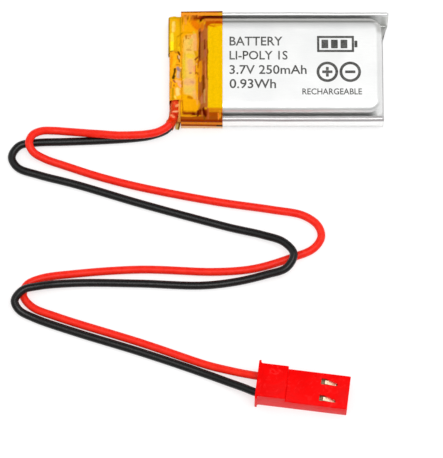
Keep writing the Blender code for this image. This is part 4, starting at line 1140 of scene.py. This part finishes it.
# The far fold's darker bands, on its outer face and low down, and its dark strokes along the fold edges are
# painted shade; its pale yellow strokes are painted reflections.
FAR_FOLD_GROUND = ((243, 183, 12), 0.92)
FAR_FOLD_BANDS = [
    ((-16.9, -14.0), (2.4, 8.8), (-0.2, 2.5), 0.06, (214, 150, 10), 0.93),
    ((-16.9, -16.24), (2.4, 8.8), (1.2, 3.6), 0.05, (176, 134, 22), 0.95),
]
FAR_FOLD_STROKES = [
    ((150, 120, 4), 0.95, 0.07, 0.0, ((-16.29, 3.8), (-16.28, 2.9))),
    ((205, 132, 58), 0.95, 0.10, 0.0, ((-16.3, 7.8), (-16.3, 7.55))),
    ((206, 160, 12), 0.95, 0.10, 0.03, ((-16.1, 8.15), (-14.9, 8.2))),
    ((251, 213, 104), 0.95, 0.20, 0.04, ((-15.7, 7.4), (-15.72, 6.1))),
    ((252, 190, 84), 0.95, 0.10, 0.0, ((-15.5, 7.0), (-15.55, 6.3))),
    ((250, 222, 60), 0.95, 0.20, 0.0, ((-15.85, 5.7), (-15.85, 4.5))),
    ((255, 238, 32), 0.95, 0.20, 0.0, ((-15.87, 4.3), (-15.88, 3.05))),
    ((222, 170, 10), 0.93, 0.12, 0.04, ((-15.2, 5.2), (-15.25, 3.3))),
    ((235, 180, 6), 0.93, 0.12, 0.0, ((-15.5, 5.6), (-15.52, 3.1))),
    ((255, 166, 8), 0.93, 0.14, 0.03, ((-15.2, 7.85), (-14.8, 7.8))),
    ((200, 140, 2), 0.93, 0.10, 0.05, ((-15.05, 5.15), (-14.6, 5.5))),
    ((206, 140, 20), 0.93, 0.06, 0.04, ((-14.7, 4.1), (-14.9, 3.7))),
    ((250, 204, 20), 0.93, 0.14, 0.0, ((-14.9, 3.5), (-14.7, 3.1))),
    ((140, 84, 2), 0.95, 0.09, 0.0, ((-16.1, 2.80), (-15.0, 2.82))),
    ((240, 200, 60), 0.95, 0.06, 0.0, ((-15.95, 2.96), (-15.8, 2.96))),
]
# The near fold's darker band low down is painted shade and its pale strokes along creases are painted
# highlights; its grey-mauve strokes show the solder joints under the tape.
NEAR_FOLD_GROUND = ((252, 172, 22), 0.90)
NEAR_FOLD_BANDS = [
    ((-16.9, -14.0), (-5.2, 2.8), (-0.2, 2.5), 0.06, (205, 138, 16), 0.92),
]
NEAR_FOLD_STROKES = [
    ((246, 150, 6), 0.93, 0.10, 0.05, ((-15.9, 1.9), (-16.08, 0.4))),
    ((255, 182, 22), 0.93, 0.16, 0.03, ((-15.4, 2.2), (-15.7, 0.4))),
    ((250, 196, 30), 0.93, 0.10, 0.0, ((-15.3, 1.3), (-15.5, 0.6))),
    ((186, 120, 20), 0.95, 0.10, 0.0, ((-15.4, 2.55), (-15.1, 2.5))),
    ((114, 60, 4), 0.95, 0.13, 0.0, ((-14.95, 2.6), (-14.7, 2.1))),
    ((120, 76, 14), 0.95, 0.08, 0.0, ((-15.05, 2.0), (-14.98, 1.5))),
    ((126, 70, 8), 0.95, 0.09, 0.0, ((-14.8, 1.5), (-14.72, 1.0))),
    ((224, 190, 150), 0.95, 0.09, 0.10, ((-14.85, 1.95), (-14.75, 1.6))),
    ((200, 130, 20), 0.93, 0.10, 0.0, ((-15.2, 0.6), (-14.8, 0.55))),
    ((176, 142, 132), 0.93, 0.20, 0.16, ((-15.05, 0.05), (-14.85, -0.35))),
    ((152, 122, 132), 0.93, 0.13, 0.18, ((-15.1, -0.15), (-14.95, -0.4))),
    ((208, 172, 142), 0.93, 0.20, 0.14, ((-14.98, -0.65), (-14.95, -1.35))),
    ((226, 194, 164), 0.93, 0.08, 0.16, ((-15.0, -0.5), (-15.0, -1.1))),
    ((84, 54, 2), 0.96, 0.17, 0.0, ((-15.45, -0.1), (-15.55, -0.8), (-15.7, -1.5))),
    ((52, 46, 8), 0.96, 0.12, 0.0, ((-15.45, -1.2), (-15.55, -1.6))),
    ((250, 216, 132), 0.93, 0.07, 0.06, ((-14.62, 0.12), (-14.58, 0.0))),
    ((146, 108, 28), 0.93, 0.09, 0.0, ((-14.52, -0.1), (-14.5, -1.4))),
    ((172, 92, 50), 0.93, 0.12, 0.0, ((-15.6, -1.9), (-15.4, -2.2))),
    ((255, 182, 112), 0.93, 0.20, 0.06, ((-15.15, -2.0), (-14.7, -2.1))),
    ((255, 176, 132), 0.93, 0.20, 0.10, ((-14.8, -2.5), (-14.65, -2.8))),
    ((188, 120, 52), 0.93, 0.06, 0.0, ((-16.05, -2.0), (-16.0, -3.0))),
    ((174, 104, 10), 0.93, 0.10, 0.0, ((-15.6, -2.6), (-15.58, -2.8))),
    ((202, 148, 4), 0.93, 0.17, 0.0, ((-15.72, -3.2), (-15.7, -4.8))),
    ((255, 216, 126), 0.93, 0.26, 0.06, ((-15.1, -3.3), (-15.0, -4.1))),
    ((230, 206, 122), 0.93, 0.12, 0.06, ((-14.95, -3.2), (-14.8, -3.3))),
    ((255, 216, 82), 0.93, 0.12, 0.04, ((-15.38, -4.4), (-15.3, -4.7))),
    ((253, 186, 10), 0.93, 0.20, 0.03, ((-14.9, -4.5), (-14.5, -4.4))),
]


def build_fold(name, node_name, path, y_ends, ground, bands, strokes):
    """A piece of tape folded round the board's edge, creased over what it covers."""
    line = [Vector((p[0], p[2])) for p in smooth_line([(x, 0.0, z) for x, z in path], 6)]
    rows = []
    columns = round((y_ends[1] - y_ends[0]) / FOLD_STEP)
    for i, point in enumerate(line):
        before = line[max(0, i - 1)]
        after = line[min(len(line) - 1, i + 1)]
        along = (after - before).normalized()
        outward = Vector((along.y, -along.x))
        if outward.dot(point - Vector(FOLD_CENTRE)) < 0:
            outward = -outward
        row = []
        for k in range(columns + 1):
            y = y_ends[0] + (y_ends[1] - y_ends[0]) * k / columns
            edge = {0: -1, columns: 1}.get(k, 0)
            ragged = 0.10 * edge * noise.noise(Vector((point.x * 1.7, point.y * 1.3, y_ends[0])))
            lift = 0.03 * (noise.noise(Vector((point.x * 1.4, y * 0.9, point.y * 1.1))) + 0.6)
            if point.y > FOLD_TOP_Z:
                lift += stroke_height(point.x, y, strokes)
            place = point + outward * lift
            row.append((place.x, y + ragged, max(0.08, place.y)))
        rows.append(row)
    bm = bmesh.new()
    add_sheet(bm, rows)
    paint_film(bm, ground, bands, strokes)
    fold = add_piece(name, bm, film_material(name + "_film", AMBER_TINT), [node_name], node_name, 60)
    add_solidify(fold, TAPE * 0.7)


def point_at_y(line, y):
    """The first place where the line passes y, and its direction there."""
    for a, b in zip(line, line[1:]):
        if (a.y - y) * (b.y - y) <= 0 and a.y != b.y:
            return a.lerp(b, (y - a.y) / (b.y - a.y)), (b - a).normalized()
    raise ValueError(f"the line doesn't pass y = {y}")


SLEEVE_GROUND = ((246, 84, 40), 0.34)
# The sleeve's pale peach strokes are painted highlights along its creases and its darker red ones painted
# shade between them.
SLEEVE_STROKES = [
    ((214, 120, 40), 0.80, 0.06, 0.0, ((-15.85, -5.2), (-16.0, -6.4), (-16.3, -7.3))),
    ((240, 150, 60), 0.80, 0.16, 0.0, ((-14.72, -5.0), (-14.72, -7.4))),
    ((188, 40, 6), 0.75, 0.12, 0.0, ((-15.4, -4.95), (-14.7, -4.95))),
    ((255, 112, 62), 0.50, 0.20, 0.0, ((-15.5, -5.4), (-15.3, -5.7))),
    ((255, 174, 114), 0.78, 0.16, 0.0, ((-15.2, -5.9), (-14.9, -5.7))),
    ((228, 78, 22), 0.60, 0.15, 0.0, ((-15.5, -6.4), (-15.0, -6.2))),
    ((255, 184, 134), 0.78, 0.12, 0.0, ((-15.7, -6.7), (-14.95, -6.6))),
    ((212, 50, 22), 0.60, 0.20, 0.0, ((-15.5, -7.0), (-15.0, -7.3))),
    ((255, 164, 114), 0.78, 0.14, 0.0, ((-16.0, -7.2), (-15.6, -7.5))),
    ((236, 50, 2), 0.40, 0.20, 0.0, ((-16.2, -7.8), (-15.7, -8.1))),
]


def build_lead_sleeve():
    """Clear tape wrapped round both leads, pulled into slanting creases."""
    red_line = lead_line(RED_ROUTE, PITCH / 2)
    black_line = lead_line(BLACK_ROUTE, -PITCH / 2)
    rings = []
    for i in range(SLEEVE_STEPS + 1):
        y = SLEEVE_Y[0] + (SLEEVE_Y[1] - SLEEVE_Y[0]) * i / SLEEVE_STEPS
        red, along = point_at_y(red_line, y)
        black, _ = point_at_y(black_line, y)
        across = (red - black).normalized()
        middle = (red + black) / 2
        side = along.cross(across).normalized()
        half = (red - black).length / 2
        outline = arc((half, 0), SLEEVE_RADIUS, -90, 90, 14) + arc((-half, 0), SLEEVE_RADIUS, 90, 270, 14)
        ring = []
        for u, v in outline:
            swirl = math.sin(SLEEVE_TWIST * y + 1.9 * math.atan2(v, u))
            lift = 1.0 + 0.05 * swirl + 0.07 * noise.noise(Vector((u * 1.5, v * 1.5, y * 1.3)))
            ring.append(middle + across * (u * lift) + side * (v * lift))
        rings.append(ring)
    bm = bmesh.new()
    add_sheet(bm, rings, closed=True)
    paint_film(bm, SLEEVE_GROUND, (), SLEEVE_STROKES)
    finish = film_material("clear_film", CLEAR_TINT)
    sleeve = add_piece("clear_sleeve", bm, finish, ["lead_tape"], "lead_tape", 50)
    add_solidify(sleeve, TAPE * 0.6, -1.0)


# The loose edge of the wrap beside the leads, from its far end to its free corner: inner and outer (x, y, z).
TAIL_LINES = [
    ((-14.40, -4.85, 3.50), (-14.86, -4.85, 3.52)), ((-14.40, -5.6, 3.46), (-14.90, -5.6, 3.38)),
    ((-14.42, -6.4, 3.42), (-14.94, -6.4, 3.14)), ((-14.44, -7.1, 3.30), (-15.00, -7.1, 2.90)),
    ((-14.48, -7.7, 2.90), (-15.10, -7.7, 2.45)), ((-14.60, -8.15, 2.00), (-15.28, -8.05, 1.80)),
    ((-14.72, -8.5, 1.20), (-15.40, -8.38, 1.10)), ((-14.84, -8.72, 0.75), (-15.34, -8.60, 0.70)),
]
TAIL_GROUND = ((240, 152, 34), 0.88)
# The tail's dark strokes are painted shade where it bends, and its pale one near the free corner is painted
# light.
TAIL_STROKES = [
    ((206, 120, 20), 0.90, 0.09, 0.0, ((-14.5, -4.9), (-14.5, -7.0))),
    ((252, 170, 70), 0.88, 0.10, 0.0, ((-14.8, -5.4), (-14.8, -7.0))),
    ((248, 176, 86), 0.88, 0.24, 0.0, ((-14.8, -7.3), (-14.85, -7.9))),
    ((132, 66, 8), 0.92, 0.14, 0.0, ((-15.3, -8.05), (-14.6, -8.12))),
    ((226, 206, 118), 0.85, 0.34, 0.0, ((-15.2, -8.42), (-15.1, -8.75))),
    ((104, 80, 10), 0.92, 0.10, 0.0, ((-14.82, -8.30), (-14.90, -8.60))),
]


def build_tape_tail():
    """The loose edge of the wrap, bent down beside the leads to a free corner."""
    inner = smooth_line([line[0] for line in TAIL_LINES], 4)
    outer = smooth_line([line[1] for line in TAIL_LINES], 4)
    rows = []
    for a, b in zip(inner, outer):
        row = []
        for k in range(TAIL_STEPS + 1):
            share = k / TAIL_STEPS
            point = a.lerp(b, share)
            point.z += 0.05 * math.sin(math.pi * share) + 0.05 * noise.noise(point * 1.7)
            row.append(point)
        rows.append(row)
    bm = bmesh.new()
    add_sheet(bm, rows)
    paint_film(bm, TAIL_GROUND, (), TAIL_STROKES)
    amber = film_material("tail_film", AMBER_TINT)
    tail = add_piece("wrap_corner", bm, amber, [], "main_tape", 60)
    add_solidify(tail, TAPE * 0.6)


# Print


PRINT_LINES = [
    ("BATTERY", (-7.31, 0.57), (2.78, 4.19)),
    ("LI-POLY 1S", (-7.31, 1.32), (0.56, 1.95)),
    ("3.7V 250mAh", (-7.31, 4.13), (-1.71, -0.28)),
    ("0.93Wh", (-7.31, -0.42), (-3.94, -2.47)),
    ("RECHARGEABLE", (3.48, 12.31), (-4.91, -3.95)),
]
PRINT_Z = (6.002, 6.012)
PICTOGRAM_X = (5.7, 11.2)
PICTOGRAM_Y = (1.75, 4.30)
PICTOGRAM_LINE = 0.34
SIGN_X = (7.20, 10.60)
SIGN_Y = -1.35
SIGN_RADII = (1.60, 1.18)
SIGN_ARM = 0.76
SIGN_STROKE = 0.21
SIGN_GAP = 0.02
RING_STEPS = 40


def text_mesh(text, x_ends, y_ends):
    """The text as a thin mesh that fills the given box."""
    curve = bpy.data.curves.new("text", "FONT")
    curve.body = text
    curve.extrude = 0.01
    curve.offset = 0.012
    curve.resolution_u = 3
    obj = bpy.data.objects.new("text", curve)
    bpy.context.scene.collection.objects.link(obj)
    mesh = bpy.data.meshes.new_from_object(obj.evaluated_get(bpy.context.evaluated_depsgraph_get()))
    bm = bmesh.new()
    bm.from_mesh(mesh)
    bpy.data.objects.remove(obj, do_unlink=True)
    bpy.data.curves.remove(curve)
    bpy.data.meshes.remove(mesh)
    bmesh.ops.remove_doubles(bm, verts=bm.verts, dist=1e-5)
    for axis, ends in enumerate((x_ends, y_ends, PRINT_Z)):
        low = min(v.co[axis] for v in bm.verts)
        high = max(v.co[axis] for v in bm.verts)
        for vert in bm.verts:
            vert.co[axis] = ends[0] + (vert.co[axis] - low) / (high - low) * (ends[1] - ends[0])
    return bm


def ring_mesh(centre, radii):
    circles = [arc(centre, r, 0, 360 - 360 / RING_STEPS, RING_STEPS - 1) for r in radii]
    low, high = PRINT_Z
    order = ((0, low), (0, high), (1, high), (1, low))
    return loft_mesh([[(x, y, z) for x, y in circles[k]] for k, z in order], capped=False)


def bar(x_ends, y_ends, radius=0.08):
    """A thin flat bar with rounded corners."""
    outline = [point for turn in rounded_corners(x_ends, y_ends, radius, 4) for point in turn]
    return loft_mesh([[(x, y, z) for x, y in outline] for z in PRINT_Z])


def sign_meshes():
    """A battery pictogram, and a plus and a minus sign, each in its ring."""
    (x0, x1), (y0, y1), line = PICTOGRAM_X, PICTOGRAM_Y, PICTOGRAM_LINE
    yield bar((x0, x1), (y1 - line, y1))
    yield bar((x0, x1), (y0, y0 + line))
    for left in (x0, x1 - line):
        yield bar((left, left + line), (y0 + line, y1 - line), 0.02)
    yield bar((x1 + 0.06, x1 + 0.50), (y0 + 0.75, y1 - 0.75))
    for k in range(3):
        left = x0 + 0.66 + 1.42 * k
        yield bar((left, left + 1.0), (y0 + 0.60, y1 - 0.60))
    for x in SIGN_X:
        yield ring_mesh((x, SIGN_Y), SIGN_RADII)
        yield bar((x - SIGN_ARM, x + SIGN_ARM), (SIGN_Y - SIGN_STROKE, SIGN_Y + SIGN_STROKE))
    upright = (SIGN_X[0] - SIGN_STROKE, SIGN_X[0] + SIGN_STROKE)
    foot = SIGN_STROKE + SIGN_GAP
    for ends in ((SIGN_Y + foot, SIGN_Y + SIGN_ARM), (SIGN_Y - SIGN_ARM, SIGN_Y - foot)):
        yield bar(upright, ends, 0.05)


def build_print():
    ink, tree, shader = new_material("printing_ink")
    place = place_in_mm(tree)
    worn = noise_of(tree, place, 3.5, 4.0, 0.7)
    broad = noise_of(tree, place, 0.5, 2.0)
    fade = math_of(tree, "ADD", math_of(tree, "MULTIPLY", worn, 0.7), math_of(tree, "MULTIPLY", broad, 0.3))
    fade = remap(tree, fade, 0.35, 0.68)
    set_inputs(tree, shader, {
        "Base Color": mixed(tree, fade, rgba(tone(62, 62, 60)), rgba(tone(104, 104, 102))),
        "Roughness": remap(tree, worn, 0.3, 0.7, 0.45, 0.60),
        "Specular IOR Level": 0.10,
        "Normal": bump(tree, worn, 0.002),
    })
    whole = bmesh.new()
    parts = [text_mesh(*line) for line in PRINT_LINES] + list(sign_meshes())
    for part in parts:
        mesh = bpy.data.meshes.new("part")
        part.to_mesh(mesh)
        part.free()
        whole.from_mesh(mesh)
        bpy.data.meshes.remove(mesh)
    add_piece("cell_print", whole, ink, [], "pouch_cup", 30)


# Carried-over nodes


# Colour, roughness, how metallic, and the nodes that have this look
CARRIED = [
    ((0.05, 0.05, 0.06), 0.8, 0.0, ["cathode_winding"]),
    ((0.09, 0.08, 0.08), 0.75, 0.0, ["anode_winding"]),
    ((0.85, 0.85, 0.82), 0.5, 0.0, ["separator_inner", "separator_outer"]),
    ((0.05, 0.35, 0.12), 0.4, 0.0, ["roll_end_tape"]),
    ((0.85, 0.85, 0.86), 0.3, 1.0, ["positive_tab"]),
    ((0.70, 0.68, 0.62), 0.3, 1.0, ["negative_tab"]),
    ((0.85, 0.85, 0.78), 0.4, 0.0, ["positive_tab_film", "negative_tab_film"]),
    ((0.02, 0.16, 0.06), 0.4, 0.0, ["pcm_board"]),
    ((0.02, 0.02, 0.02), 0.5, 0.0, ["protection_ic", "switch_transistor"]),
    ((0.04, 0.04, 0.05), 0.4, 0.0, ["filter_resistor", "sense_resistor"]),
    ((0.45, 0.33, 0.20), 0.5, 0.0, ["filter_capacitor"]),
    ((0.72, 0.70, 0.64), 0.3, 1.0, ["cell_pad_positive", "cell_pad_negative"]),
    ((0.85, 0.62, 0.25), 0.3, 1.0, ["output_pad_positive", "output_pad_negative"]),
    ((0.75, 0.75, 0.76), 0.3, 1.0, ["solder_joint_positive", "solder_joint_negative"]),
    ((0.95, 0.86, 0.66), 0.8, 0.0, ["insulation_paper"]),
    ((0.80, 0.78, 0.74), 0.35, 1.0, [
        "red_conductor_board_end", "black_conductor_board_end",
        "red_conductor_plug_end", "black_conductor_plug_end",
    ]),
]


def contact_material(name):
    """Bronze with tin plating, coloured by height: a pale cream on the latch tongue that stands up in the
    window, partly the tin and partly a painted highlight, and painted shade in dark brown round it, lower
    down inside the housing.
    """
    made, tree, shader = new_material(name)
    place = place_in_mm(tree)
    height = separate(tree, place)[2]
    fine = noise_of(tree, place, 5.0, 3.0, 0.6)
    # Painted highlight on the tongue and painted shade below it, split at a height.
    tin_with_highlight = mixed(tree, remap(tree, fine, 0.3, 0.7), rgba(tone(235, 205, 160)), rgba(tone(255, 240, 215)))
    cavity_shade = mixed(tree, remap(tree, fine, 0.3, 0.7), rgba(tone(70, 52, 30)), rgba(tone(105, 84, 52)))
    set_inputs(tree, shader, {
        "Base Color": mixed(tree, remap(tree, height, 2.84, 2.90), cavity_shade, tin_with_highlight),
        "Metallic": 0.7,
        "Roughness": remap(tree, fine, 0.3, 0.7, 0.24, 0.40),
        "Normal": bump(tree, fine, 0.006),
    })
    return made


def paint_node(name, finish):
    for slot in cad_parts[name].material_slots:
        slot.material = finish


def paint_carried_nodes():
    for name in ("contact_positive", "contact_negative"):
        paint_node(name, contact_material(f"{name}_finish"))
    for colour, roughness, metallic, names in CARRIED:
        for name in names:
            paint_node(name, surface_material(f"{name}_finish", colour, roughness, metallic))


build_camera()
build_floor()
build_light()
paint_carried_nodes()
build_leads(build_plug())
build_pouch()
build_main_tape()
build_fold(
    "far_edge_fold", "board_edge_tape", FAR_FOLD_PATH, (2.75, 8.35),
    FAR_FOLD_GROUND, FAR_FOLD_BANDS, FAR_FOLD_STROKES,
)
build_fold(
    "wire_joint_fold", "wire_joint_tape", NEAR_FOLD_PATH, (-4.95, 2.70),
    NEAR_FOLD_GROUND, NEAR_FOLD_BANDS, NEAR_FOLD_STROKES,
)
build_lead_sleeve()
build_tape_tail()
build_print()
